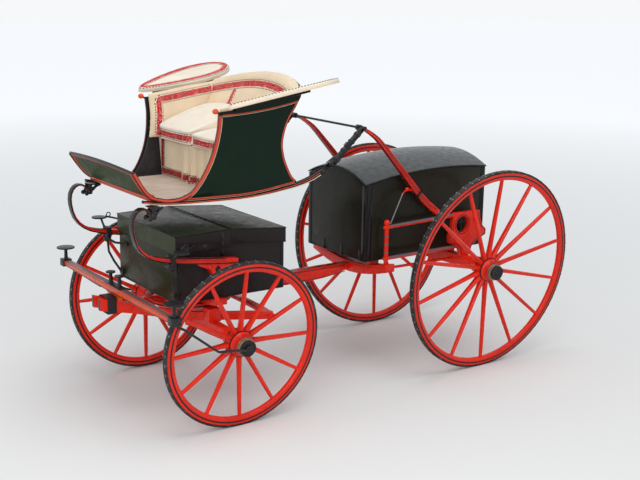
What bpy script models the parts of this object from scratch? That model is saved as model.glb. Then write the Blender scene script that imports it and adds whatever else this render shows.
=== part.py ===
"""A high flyer phaeton: a light two-seat carriage whose body hangs high between elbow springs and whip springs.

Metres, +Z up, +X towards the horses, +Y to the carriage's left. Heights are above the ground.
Lengths along X are first measured from the rear axle, and the whole is centred at the end.
"""

from math import cos, pi, radians, sin, tan

import bmesh
import bpy
from mathutils import Matrix, Vector

for old in list(bpy.data.objects):
    bpy.data.objects.remove(old, do_unlink=True)

# Clearances
GAP = 0.0003  # between pieces that touch
RUN = 0.0006  # between pieces that turn on each other
BITE = 0.004  # how far two shapes of one piece reach into each other
SHY = 0.001  # how far a shape's face stays behind its neighbour's in the same piece

# Wheels
WHEELBASE = 2.02
TRACK = 1.385  # between the rims, at hub height
CAMBER = radians(5.5)
REAR_RADIUS = 0.72
FRONT_RADIUS = 0.532
REAR_SPOKES = 14
FRONT_SPOKES = 12
FACETS_PER_SPOKE = 3
TYRE_WIDTH = 0.036
TYRE_THICK = 0.014
FELLOE_DEPTH = 0.052
FELLOE_WIDTH = 0.040
SPOKE_ROOT = 0.018
SPOKE_TIP = 0.0140
DISH = 0.048  # how far the spokes' roots lie inside the rim's plane
NAVE_RADIUS = 0.084
NAVE_INNER = 0.150  # inward from the rim's plane
NAVE_OUTER = 0.022  # outward from it
BAND_RADIUS = 0.057
BAND_LENGTH = 0.028
CAP_RADIUS = 0.051
CAP_LENGTH = 0.020
BOSS_RADIUS = 0.016
BOSS_LENGTH = 0.014

# Axles
ARM_RADIUS = 0.026  # the axle arm, inside the nave
COLLAR_RADIUS = 0.048
COLLAR_THICK = 0.014
BED_HALF = 0.500
BED_HEIGHT = 0.085
BED_DEPTH = 0.070
BED_OVER_HUB = 0.052  # how much higher the bed's top lies than the hub

# Turntable
KINGPIN_RADIUS = 0.014
RING_RADIUS = 0.280
RING_WIDTH = 0.045
RING_THICK = 0.009
BOLSTER_HALF = 0.435
BOLSTER_DEPTH = 0.110
FUTCHELL_WIDTH = 0.030
FUTCHELL_HEIGHT = 0.052
JAW_HEIGHT = 0.076
JAW_LENGTH = 0.21
JAW_REACH = 0.640  # from the front axle to the jaw's front
JAW_HALF_GAP = 0.031
JAW_RISE = 0.100  # how much higher the jaw's front lies than the rest
LEVEL_REACH = 0.060  # how far ahead of the axle the futchells stay level
SWAY_SET_BACK = 0.330  # from the front axle back to the sway bar
SWAY_HALF = 0.500
SWAY_WIDTH = 0.055
SWAY_THICK = 0.022
SWAY_BOW = 0.035

# Splinter bar and what stands on it
SPLINTER_AHEAD = 0.510  # from the front axle
SPLINTER_Z = 0.790
SPLINTER_HALF = 0.815
SPLINTER_DEPTH = 0.058
SPLINTER_HEIGHT = 0.042
SPLINTER_TAPER = 0.76
BRACKET_REACH = 0.215
BRACKET_DEPTH = 0.030
ROLLER_RADIUS = 0.010
ROLLER_HEIGHT = 0.078
ROLLER_SPACING = 0.064
ROLLER_HEAD = 0.030
STEP_HEAD_RADIUS = 0.060
SOCKET_WALL = 0.008
SOCKET_LENGTH = 0.050
STAY_RADIUS = 0.008
EYE_WALL = 0.012
STRAP_WIDTH = 0.060
STRAP_THICK = 0.005
STRAP_SET_BACK = 0.078  # behind the jaw's front

# Front box
BOX_FRONT = WHEELBASE + 0.290
BOX_REAR = WHEELBASE - 0.475
BOX_SEAM = WHEELBASE - 0.080
BOX_HALF = 0.400
BOX_BOTTOM = 0.752
BOX_TOP_FRONT = 1.163
BOX_TOP_SEAM = 1.172
BOX_TOP_REAR = 1.138
BOARD = 0.013
LID_THICK = 0.012
LID_LAP = 0.010  # thickness of the lids' skirts
FRONT_SKIRT = 0.100
REAR_SKIRT = 0.085

# Springs
LEAF_WIDTH = 0.045
ELBOW_Y = BOX_HALF + 0.056
ELBOW_TIP = 0.010
ELBOW_ROOT = 0.032
WHIP_Y = 0.383
WHIP_WIDTH = 0.040
WHIP_TIP = 0.012
WHIP_ROOT = 0.042
PIN_RADIUS = 0.008
EYE_RADIUS = 0.019
BRACE_WIDTH = 0.038
BRACE_THICK = 0.030
CHEEK_THICK = 0.006
CLAMP_DEPTH = 0.032
CLAMP_WALL = 0.011

# Rear frame and trunk
PERCH_HALF = 0.035
PERCH_TOP = 0.727
PERCH_BELLY = 0.640
REAR_BED_X = 0.700
REAR_BED_DEPTH = 0.080
REAR_BED_HALF = 0.435
REAR_BED_TOP = 0.735
REAR_BED_HEIGHT = 0.075
REAR_BED_RISE = 0.062  # how much higher its ends are
FRAME_Y = 0.405
FRAME_THICK = 0.034
RAIL_RADIUS = 0.013
POST_RADIUS = 0.016
POST_X = 0.715
KNOB_RADIUS = 0.022
UPPER_RAIL_Z = 1.052
UPPER_RAIL_RISE = 0.024
LOWER_RAIL_Z = 0.834
TRUNK_FRONT = 0.835
TRUNK_REAR = -0.230
TRUNK_HALF = 0.340
TRUNK_BOTTOM = 0.810
TRUNK_REAR_TOP = 1.397
TRUNK_FRONT_TOP = 1.353
TRUNK_ARCH = 0.0417  # how far the lid's side edge bows above a straight line
LID_CROWN = 0.085
LID_OVERHANG = 0.004
TRUNK_BOARD = 0.014
PAD_HALF = 0.030

# Body
BODY_HALF = 0.412  # outer face of the side where it meets the sill
BODY_FOOT_Z = 1.420
FLARE = 0.175  # outward for each metre up
SIDE_THICK = 0.018
SILL_WIDTH = 0.034
SILL_FRONT_THICK = 0.017
SILL_REAR_THICK = 0.036
FLOOR_REAR = WHEELBASE - 0.520
FLOOR_FRONT = WHEELBASE + 0.415
FLOOR_TOP = 1.404
FLOOR_THICK = 0.017
SEAT_FRONT = WHEELBASE - 0.030
SEAT_TOP = 1.6535
SEAT_THICK = 0.018
RISER_THICK = 0.015
DASH_THICK = 0.016
DASH_TOP_HALF = 0.460
DASH_BOTTOM_HALF = 0.412
DASH_CROWN = 0.020
BACK_THICK = 0.014
BACK_BULGE = 0.100
BACK_SIDE_TOP = 2.010
SQUAB_THICK = 0.045
SQUAB_SWELL = 0.012
SQUAB_SPACE = 0.006  # between the back panel and the squab, which are curved alike
SQUAB_SIDE_TOP = 2.022
SQUAB_ARCH = 0.070
LINING_THICK = 0.028
LINING_SWELL = 0.005
LINING_FRONT_TOP = 1.935
LINING_REAR_TOP = 2.003
CUSHION_SPLIT = 0.036  # how far left of the middle the two cushions meet
CUSHION_FRONT = SEAT_FRONT + 0.040
CUSHION_DRAW = 0.010  # how far a cushion's sides are drawn in at its middle height
CUSHION_CROWN = 0.014
DRIVER_FRONT_TOP = SEAT_TOP + 0.0885
DRIVER_REAR_TOP = SEAT_TOP + 0.2145
PASSENGER_FRONT_TOP = SEAT_TOP + 0.0825
PASSENGER_REAR_TOP = SEAT_TOP + 0.1365
FALL_THICK = 0.010
FALL_DEPTH = 0.011
FALL_PLEATS = 11
KNOB_AHEAD = 0.030

# Arm wings: a padded egg-shaped board on a plane that rises to the rear and outwards
WING_CENTRE = (WHEELBASE - 0.324, 0.634, 2.007)
WING_HALF_LENGTH = 0.369
WING_HALF_WIDTH = 0.131
WING_EGG = 0.34
WING_SPLAY = radians(6.1)
WING_RISE = radians(10.7)
WING_TILT = radians(12.6)
WING_THICK = 0.035
ARM_BOARD_THICK = 0.016
ARM_BOARD_FRONT = 0.300
ARM_BOARD_REAR = 0.200
ARM_BOARD_OUT = -0.030

# Routes and outlines, as (x, z)


def from_axle(points):
    """Points given from the front axle, as (x, z)."""
    return [(WHEELBASE + x, z) for x, z in points]


ELBOW_PATH = from_axle(
    [
        (0.482, 1.340),
        (0.525, 1.374),
        (0.565, 1.366),
        (0.593, 1.325),
        (0.596, 1.255),
        (0.570, 1.170),
        (0.510, 1.108),
        (0.420, 1.077),
        (0.280, 1.054),
        (0.100, 1.032),
        (-0.095, 1.012),
    ]
)
ELBOW_EYE = (WHEELBASE + 0.472, 1.331)
ELBOW_BOLT_X = WHEELBASE + 0.042
WHIP_PATH = [
    (0.940, 1.742),
    (0.887, 1.728),
    (0.796, 1.671),
    (0.702, 1.578),
    (0.569, 1.436),
    (0.445, 1.300),
    (0.343, 1.198),
    (0.200, 1.095),
]
WHIP_EYE = (0.954, 1.745)
SILL_LINE = from_axle(
    [
        (0.510, 1.401),
        (0.430, 1.386),
        (0.365, 1.377),
        (0.240, 1.370),
        (0.064, 1.366),
        (-0.155, 1.364),
        (-0.327, 1.374),
        (-0.435, 1.386),
        (-0.550, 1.402),
        (-0.664, 1.430),
        (-0.770, 1.475),
        (-0.825, 1.500),
    ]
)
BACK_EDGE = from_axle(
    [
        (-0.573, 1.380),
        (-0.565, 1.430),
        (-0.518, 1.477),
        (-0.475, 1.546),
        (-0.444, 1.613),
        (-0.425, 1.690),
        (-0.431, 1.773),
        (-0.454, 1.847),
        (-0.492, 1.920),
        (-0.522, 1.985),
        (-0.558, 2.060),
        (-0.590, 2.120),
    ]
)
TOP_EDGE = from_axle([(-0.522, 2.000), (-0.372, 1.976), (-0.265, 1.958), (-0.161, 1.940), (-0.059, 1.921)])
FRONT_EDGE = from_axle(
    [
        (0.046, 1.914),
        (0.043, 1.828),
        (0.050, 1.752),
        (0.061, 1.689),
        (0.081, 1.617),
        (0.111, 1.548),
        (0.152, 1.480),
        (0.194, 1.434),
        (0.254, 1.403),
        (0.290, 1.380),
    ]
)
DASH_LINE = from_axle([(0.402, 1.4120), (0.464, 1.4345), (0.525, 1.497), (0.584, 1.588)])

MATERIALS = {
    "red": ((0.62, 0.018, 0.012), 0.28, 0.0),
    "orange_red": ((0.60, 0.062, 0.020), 0.28, 0.0),
    "black_iron": ((0.018, 0.018, 0.020), 0.38, 0.6),
    "tyre": ((0.020, 0.020, 0.021), 0.62, 0.0),
    "hub": ((0.23, 0.18, 0.14), 0.45, 0.8),
    "dark_box": ((0.014, 0.014, 0.010), 0.30, 0.0),
    "body_green": ((0.004, 0.014, 0.009), 0.16, 0.0),
    "cloth": ((0.80, 0.68, 0.52), 0.90, 0.0),
    "leather": ((0.020, 0.019, 0.019), 0.48, 0.0),
}
materials = {}
for label, (colour, roughness, metallic) in MATERIALS.items():
    made = bpy.data.materials.new(label)
    made.use_nodes = True
    shader = made.node_tree.nodes["Principled BSDF"]
    shader.inputs["Base Color"].default_value = (*colour, 1.0)
    shader.inputs["Roughness"].default_value = roughness
    shader.inputs["Metallic"].default_value = metallic
    made.diffuse_color = (*colour, 1.0)
    materials[label] = made

phaeton = bpy.data.collections.new("phaeton")
bpy.context.scene.collection.children.link(phaeton)


# Raw shapes: each returns an unfinished object in the frame it stays in


def raw(mesh):
    shape = bpy.data.objects.new("raw", mesh)
    bpy.context.scene.collection.objects.link(shape)
    return shape


def raw_from(bm):
    bmesh.ops.recalc_face_normals(bm, faces=bm.faces)
    if bm.calc_volume(signed=True) < 0:
        bmesh.ops.reverse_faces(bm, faces=bm.faces)
    mesh = bpy.data.meshes.new("raw")
    bm.to_mesh(mesh)
    bm.free()
    return raw(mesh)


def settled(shape):
    """The shape with its modifiers applied, or its curve made a mesh, welded and facing out."""
    bpy.context.view_layer.update()
    graph = bpy.context.evaluated_depsgraph_get()
    mesh = bpy.data.meshes.new_from_object(shape.evaluated_get(graph))
    mesh.transform(shape.matrix_world)
    bm = bmesh.new()
    bm.from_mesh(mesh)
    bmesh.ops.remove_doubles(bm, verts=bm.verts, dist=1e-5)
    bpy.data.objects.remove(shape, do_unlink=True)
    return raw_from(bm)


def block(low, high, bevel=0.0):
    """A box between two corners, with its edges chamfered by bevel."""
    bm = bmesh.new()
    bmesh.ops.create_cube(bm, size=1.0)
    low, high = Vector(low), Vector(high)
    for vert in bm.verts:
        vert.co = (low + high) / 2 + vert.co * (high - low)
    if bevel:
        bmesh.ops.bevel(bm, geom=bm.edges[:], offset=bevel, segments=1, affect="EDGES")
    return raw_from(bm)


def rod(start, end, radius, end_radius=None, sides=12):
    """A round bar, or a cone where end_radius is given."""
    start, end = Vector(start), Vector(end)
    along = end - start
    bm = bmesh.new()
    bmesh.ops.create_cone(
        bm,
        cap_ends=True,
        segments=sides,
        radius1=radius,
        radius2=radius if end_radius is None else end_radius,
        depth=along.length,
    )
    turn = along.to_track_quat("Z", "Y").to_matrix().to_4x4()
    bmesh.ops.transform(bm, matrix=Matrix.Translation((start + end) / 2) @ turn, verts=bm.verts)
    return raw_from(bm)


def ball(centre, radius, segments=10):
    bm = bmesh.new()
    bmesh.ops.create_uvsphere(bm, u_segments=segments, v_segments=6, radius=radius)
    bmesh.ops.translate(bm, vec=centre, verts=bm.verts)
    return raw_from(bm)


def tube(points, radius):
    """A round wire through the points, with filled ends."""
    curve = bpy.data.curves.new("raw", "CURVE")
    curve.dimensions = "3D"
    spline = curve.splines.new("POLY")
    spline.points.add(len(points) - 1)
    for point, place in zip(spline.points, points):
        point.co = (*place, 1.0)
    curve.bevel_depth = radius
    curve.bevel_resolution = 1
    curve.use_fill_caps = True
    return settled(raw(curve))


def plate(outlines, y, thickness):
    """A flat plate across Y: outlines is its (x, z) outline, then any holes."""
    curve = bpy.data.curves.new("raw", "CURVE")
    curve.dimensions = "2D"
    curve.fill_mode = "BOTH"
    curve.extrude = thickness / 2
    for outline in outlines:
        spline = curve.splines.new("POLY")
        spline.points.add(len(outline) - 1)
        for point, (across, up) in zip(spline.points, outline):
            point.co = (across, up, 0.0, 1.0)
        spline.use_cyclic_u = True
    shape = raw(curve)
    shape.matrix_world = Matrix.Translation((0, y, 0)) @ Matrix.Rotation(pi / 2, 4, "X")
    return settled(shape)


def circle(centre, radius, count=14):
    """An outline round centre."""
    turns = [2 * pi * step / count for step in range(count)]
    return [(centre[0] + radius * cos(turn), centre[1] + radius * sin(turn)) for turn in turns]


def smooth(points, count):
    """Points along a smooth curve through the given ones, count to each stretch."""
    found = []
    last = len(points) - 1
    for index in range(last):
        before = Vector(points[max(index - 1, 0)])
        start = Vector(points[index])
        end = Vector(points[index + 1])
        after = Vector(points[min(index + 2, last)])
        for step in range(count):
            t = step / count
            first = 2 * start + (end - before) * t
            second = (2 * before - 5 * start + 4 * end - after) * t**2
            third = (3 * start - before - 3 * end + after) * t**3
            found.append(0.5 * (first + second + third))
    found.append(Vector(points[last]))
    return found


def ribbon(points, to_left, to_right):
    """The outline of a strip along (x, z) points. Each side's offset is a function of 0 to 1 along it."""
    left, right = [], []
    last = len(points) - 1
    for index, point in enumerate(points):
        way = (points[min(index + 1, last)] - points[max(index - 1, 0)]).normalized()
        normal = Vector((-way.y, way.x))
        left.append(tuple(point + normal * to_left(index / last)))
        right.append(tuple(point - normal * to_right(index / last)))
    return left + right[::-1]


def none(t):
    return 0.0


def turned(profile, steps, closed=True):
    """A turned shape about Z. A closed profile is a ring's section, an open one starts and ends on the axis."""
    mesh = bpy.data.meshes.new("raw")
    count = len(profile)
    edges = [(index, (index + 1) % count) for index in range(count if closed else count - 1)]
    mesh.from_pydata([(radius, 0.0, height) for radius, height in profile], edges, [])
    shape = raw(mesh)
    screw = shape.modifiers.new("turn", "SCREW")
    screw.steps = steps
    screw.render_steps = steps
    screw.use_merge_vertices = True
    screw.merge_threshold = 1e-5
    return settled(shape)


def shaped(cuts, place):
    """A cube from -1 to 1, cut into a grid, whose every point goes to place(u, v, w)."""
    bm = bmesh.new()
    bmesh.ops.create_cube(bm, size=2.0)
    for axis, count in enumerate(cuts):
        if not count:
            continue
        along = []
        for edge in bm.edges:
            if abs(edge.verts[0].co[axis] - edge.verts[1].co[axis]) > 1e-6:
                along.append(edge)
        bmesh.ops.subdivide_edges(bm, edges=along, cuts=count, use_grid_fill=True)
    for vert in bm.verts:
        vert.co = Vector(place(*vert.co))
    return raw_from(bm)


def combined(operation, first, others):
    for other in others:
        step = first.modifiers.new(operation, "BOOLEAN")
        step.operation = operation
        step.solver = "EXACT"
        step.object = other
    result = settled(first)
    for other in others:
        bpy.data.objects.remove(other, do_unlink=True)
    return result


def united(first, *others):
    return combined("UNION", first, others)


def less(first, *others):
    return combined("DIFFERENCE", first, others)


def mirrored(shape, side):
    """The shape as it is for side 1, and mirrored to the carriage's right for side -1."""
    if side > 0:
        return shape
    bm = bmesh.new()
    bm.from_mesh(shape.data)
    for vert in bm.verts:
        vert.co.y = -vert.co.y
    bmesh.ops.reverse_faces(bm, faces=bm.faces)
    bpy.data.objects.remove(shape, do_unlink=True)
    return raw_from(bm)


def finished(name, shape, material, origin=(0, 0, 0), parent=None, angle=40):
    """Names the shape, gives it its material, its origin and its parent, and smooths its round faces."""
    shape.name = name
    shape.data.name = name
    shape.data.materials.clear()
    shape.data.materials.append(materials[material])
    shape.data.transform(Matrix.Translation(-Vector(origin)))
    for polygon in shape.data.polygons:
        polygon.use_smooth = True
    shape.data.set_sharp_from_angle(angle=radians(angle))
    bpy.context.scene.collection.objects.unlink(shape)
    phaeton.objects.link(shape)
    shape.parent = parent
    shape.location = Vector(origin) - Vector(parent.location if parent else (0, 0, 0))
    return shape


def pivot(name, location, rotation=0.0, parent=None):
    """An empty on a joint's axis. rotation is about X."""
    empty = bpy.data.objects.new(name, None)
    empty.empty_display_size = 0.1
    phaeton.objects.link(empty)
    empty.location = Vector(location) - Vector(parent.location if parent else (0, 0, 0))
    empty.rotation_euler.x = rotation
    empty.parent = parent
    return empty


def side_name(side):
    return "left" if side > 0 else "right"


def between(points, at, key, value):
    """Reads a line of points: the value coordinate where the key coordinate is at."""
    ordered = sorted(points, key=lambda point: point[key])
    if at <= ordered[0][key]:
        return ordered[0][value]
    for low, high in zip(ordered, ordered[1:]):
        if at <= high[key]:
            share = (at - low[key]) / (high[key] - low[key])
            return low[value] + share * (high[value] - low[value])
    return ordered[-1][value]


# Wheels and axles


def hub_height(radius, spokes):
    """The wheel leans out, and the outer edge of its tyre's lowest facet stands on the ground."""
    facet = radius * cos(pi / (spokes * FACETS_PER_SPOKE))
    return facet * cos(CAMBER) + TYRE_WIDTH / 2 * sin(CAMBER)


FRONT_HUB_Z = hub_height(FRONT_RADIUS, FRONT_SPOKES)
REAR_HUB_Z = hub_height(REAR_RADIUS, REAR_SPOKES)
OUTWARD = Vector((0, cos(CAMBER), -sin(CAMBER)))  # along the left axle arms


def wheel(end, side, x, height, radius, spokes, boss, parent):
    """A tyre, a wooden wheel and a hub cap, about an empty whose Z points out along the axle arm."""
    name = f"{end}_{side_name(side)}"
    turn = -side * (pi / 2 + CAMBER)
    axis = pivot(name + "_axle_line", (x, side * TRACK / 2, height), turn, parent)
    facets = spokes * FACETS_PER_SPOKE
    inner = radius - TYRE_THICK
    half = TYRE_WIDTH / 2
    tyre = turned([(inner + GAP, -half), (radius, -half), (radius, half), (inner + GAP, half)], facets)
    half = FELLOE_WIDTH / 2
    well = inner - FELLOE_DEPTH
    felloe = turned(
        [
            (inner, -half),
            (inner, half),
            (well + half / 2, half),
            (well, half / 2),
            (well, -half / 2),
            (well + half / 2, -half),
        ],
        facets,
    )
    bore = (ARM_RADIUS + RUN) / cos(pi / spokes)  # to the corners of its facets
    nave = turned(
        [
            (bore, -NAVE_INNER),
            (NAVE_RADIUS * 0.72, -NAVE_INNER),
            (NAVE_RADIUS, -DISH - 0.030),
            (NAVE_RADIUS, -DISH + 0.028),
            (BAND_RADIUS + 0.008, NAVE_OUTER),
            (bore, NAVE_OUTER),
        ],
        spokes,
    )
    # A facet of the felloe faces each spoke, and one spoke points straight down
    for ring, count in ((tyre, facets), (felloe, facets), (nave, spokes)):
        ring.data.transform(Matrix.Rotation(pi / 2 + pi / count, 4, "Z"))
    wood = united(felloe, nave, *spokes_of(spokes, well))
    band_end = NAVE_OUTER + BAND_LENGTH
    cap_end = band_end + CAP_LENGTH
    cavity = ARM_RADIUS + 0.008
    profile = [
        (0.0, cap_end - 0.008),
        (cavity, cap_end - 0.008),
        (cavity, NAVE_OUTER + GAP),
        (BAND_RADIUS, NAVE_OUTER + GAP),
        (BAND_RADIUS, band_end),
        (CAP_RADIUS, band_end),
        (CAP_RADIUS - 0.003, cap_end),
    ]
    if boss:
        profile += [(BOSS_RADIUS, cap_end), (BOSS_RADIUS, cap_end + BOSS_LENGTH), (0.0, cap_end + BOSS_LENGTH)]
    else:
        profile += [(0.0, cap_end)]
    cap = turned(profile, 16, closed=False)
    for label, shape, material in (("tyre", tyre, "tyre"), ("wheel", wood, "red"), ("hub_cap", cap, "hub")):
        finished(f"{name}_{label}", shape, material).parent = axis


def spokes_of(spokes, well):
    arms = []
    for step in range(spokes):
        way = pi / 2 + 2 * pi * step / spokes
        root = (NAVE_RADIUS * 0.6 * cos(way), NAVE_RADIUS * 0.6 * sin(way), -DISH)
        reach = well + 0.008
        arms.append(rod(root, (reach * cos(way), reach * sin(way), 0.0), SPOKE_ROOT, SPOKE_TIP, sides=6))
    return arms


def axle(x, hub_z, pad_top=None, pin=False):
    """A bed with two canted arms, and a collar that each nave runs against."""
    top = hub_z + BED_OVER_HUB

    def place(u, v, w):
        narrow = 1.0 - 0.25 * abs(v) ** 3
        z = top if w > 0 else top - BED_HEIGHT + 0.014 * v * v
        return (x + u * BED_DEPTH / 2 * narrow, v * BED_HALF, z)

    pieces = []
    for side in (1, -1):
        out = Vector((0, side * OUTWARD.y, OUTWARD.z))
        hub = Vector((x, side * TRACK / 2, hub_z))
        stop = hub - out * (NAVE_INNER + GAP)
        root = hub - out * ((TRACK / 2 - BED_HALF + 0.03) / cos(CAMBER))
        pieces.append(rod(root, hub + out * (NAVE_OUTER + BAND_LENGTH - 0.004), ARM_RADIUS, sides=16))
        pieces.append(rod(stop - out * COLLAR_THICK, stop, COLLAR_RADIUS, sides=16))
        if pad_top:
            y = side * (TRUNK_HALF - 0.10)
            low = (x - PAD_HALF, y - PAD_HALF, top - BITE)
            pieces.append(block(low, (x + PAD_HALF, y + PAD_HALF, pad_top)))
    bed = united(shaped((0, 5, 0), place), *pieces)
    if pin:
        bed = less(bed, kingpin_hole(x, top - BED_HEIGHT, top))
    return bed


def kingpin_hole(x, low, high):
    return rod((x, 0, low - 0.03), (x, 0, high + 0.03), KINGPIN_RADIUS + RUN, sides=16)


# Fore-carriage: all that turns about the king pin

AXLE_TOP = FRONT_HUB_Z + BED_OVER_HUB
JAW_FRONT = WHEELBASE + JAW_REACH
SPLINTER_X = WHEELBASE + SPLINTER_AHEAD
SWAY_X = WHEELBASE - SWAY_SET_BACK


def futchell_low(x):
    """The underside of the futchells: level over the axle, then rising to the jaw."""
    share = max(0.0, (x - WHEELBASE - LEVEL_REACH) / (JAW_REACH - LEVEL_REACH))
    return AXLE_TOP + GAP + JAW_RISE * share**1.4


def futchell_top(x):
    share = max(0.0, (x - WHEELBASE - LEVEL_REACH) / (JAW_REACH - LEVEL_REACH))
    return futchell_low(x) + FUTCHELL_HEIGHT + (JAW_HEIGHT - FUTCHELL_HEIGHT) * share


LOWER_RING_Z = futchell_top(WHEELBASE + RING_RADIUS) + GAP
UPPER_RING_Z = LOWER_RING_Z + RING_THICK + GAP
BOLSTER_BOTTOM = UPPER_RING_Z + RING_THICK
BOLSTER_TOP = BOX_BOTTOM - GAP


def futchells():
    """Two bars that splay from the pole jaw to the sway bar's ends, with a block over the axle."""
    bend = JAW_FRONT - JAW_LENGTH
    middle = JAW_HALF_GAP + FUTCHELL_WIDTH / 2
    rear = SWAY_X - SWAY_WIDTH / 4

    def bar(side):
        def place(u, v, w):
            x = rear + (u + 1) / 2 * (JAW_FRONT - rear)
            splay = max(0.0, (bend - x) / (bend - rear))
            y = middle + splay * (SWAY_HALF - FUTCHELL_WIDTH - middle)
            z = futchell_top(x) if w > 0 else futchell_low(x)
            return (x, side * y + v * FUTCHELL_WIDTH / 2, z)

        return shaped((12, 0, 0), place)

    def sway(u, v, w):
        x = SWAY_X - SWAY_BOW * (1 - v * v) + u * SWAY_WIDTH / 2 * (1.0 - 0.35 * abs(v) ** 8)
        return (x, v * SWAY_HALF, AXLE_TOP + FUTCHELL_HEIGHT / 2 + w * SWAY_THICK / 2)

    half = BED_DEPTH / 2 + 0.008
    low = (WHEELBASE - half, -BED_HALF * 0.7, AXLE_TOP + GAP)
    over_axle = block(low, (WHEELBASE + half, BED_HALF * 0.7, LOWER_RING_Z - GAP))
    frame = united(bar(1), bar(-1), shaped((0, 10, 0), sway), over_axle)
    return less(frame, kingpin_hole(WHEELBASE, AXLE_TOP, LOWER_RING_Z))


def flat_ring(z, thick, hole):
    """A fifth-wheel plate: a ring with a cross bar."""
    outer, inner = RING_RADIUS, RING_RADIUS - RING_WIDTH
    ring = turned([(inner, 0), (outer, 0), (outer, thick), (inner, thick)], 28)
    ring.data.transform(Matrix.Translation((WHEELBASE, 0, z)))
    reach = RING_RADIUS - RING_WIDTH / 2
    bar = block((WHEELBASE - 0.03, -reach, z + SHY), (WHEELBASE + 0.03, reach, z + thick - SHY))
    joined = united(ring, bar)
    return less(joined, kingpin_hole(WHEELBASE, z, z + thick)) if hole else joined


def splinter_bar():
    """The cross bar that the traces pull on, tapered to its ends, on an arched bracket."""

    def place(u, v, w):
        shrink = 1.0 - (1.0 - SPLINTER_TAPER) * abs(v)
        x = SPLINTER_X + u * SPLINTER_DEPTH / 2 * shrink
        return (x, v * SPLINTER_HALF, SPLINTER_Z + w * SPLINTER_HEIGHT / 2 * shrink)

    low = futchell_top(SPLINTER_X + BRACKET_DEPTH / 2) + GAP
    top = SPLINTER_Z - SPLINTER_HEIGHT / 4
    foot = JAW_HALF_GAP + FUTCHELL_WIDTH + 0.006
    arch = [(-foot, low)]
    arch += [(-JAW_HALF_GAP * cos(pi * step / 6), low + 0.024 * sin(pi * step / 6)) for step in range(7)]
    arch += [(foot, low)]
    sweep = []
    for step in range(1, 7):
        t = step / 7
        sweep.append((foot + (BRACKET_REACH - foot) * t**1.3, low + (top - low) * t**0.5))
    arch += sweep + [(BRACKET_REACH, top), (-BRACKET_REACH, top)]
    arch += [(-across, up) for across, up in reversed(sweep)]
    bracket = plate([arch], 0, BRACKET_DEPTH)
    # The outline was drawn along the carriage, and the bracket stands across it
    bracket.data.transform(Matrix.Translation((SPLINTER_X, 0, 0)) @ Matrix.Rotation(pi / 2, 4, "Z"))
    return united(shaped((0, 5, 0), place), bracket)


def roller_bolts():
    """The two inner roller bolts, on one foot plate over the splinter bar."""
    z = SPLINTER_Z + SPLINTER_HEIGHT / 2 + GAP
    x = SPLINTER_X
    reach = ROLLER_SPACING + 0.045
    pieces = []
    for y in (ROLLER_SPACING, -ROLLER_SPACING):
        top = z + ROLLER_HEIGHT
        pieces.append(rod((x, y, z + 0.003), (x, y, top), ROLLER_RADIUS + 0.004, ROLLER_RADIUS, 10))
        pieces.append(rod((x, y, top - 0.008), (x, y, top + 0.001), ROLLER_HEAD, sides=12))
    return united(block((x - 0.026, -reach, z), (x + 0.026, reach, z + 0.006)), *pieces)


def pole_strap():
    """A leather band round the jaw."""
    x = JAW_FRONT - STRAP_SET_BACK
    low = futchell_low(x - STRAP_WIDTH / 2)
    high = futchell_top(x + STRAP_WIDTH / 2)
    half = JAW_HALF_GAP + FUTCHELL_WIDTH + GAP

    def band(spare, length):
        def place(u, v, w):
            z = high + spare + 0.012 * (1 - v * v) if w > 0 else low - spare
            return (x + u * length / 2, v * (half + spare - GAP), z)

        return shaped((0, 5, 0), place)

    return less(band(GAP + STRAP_THICK, STRAP_WIDTH), band(GAP, STRAP_WIDTH * 2))


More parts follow.
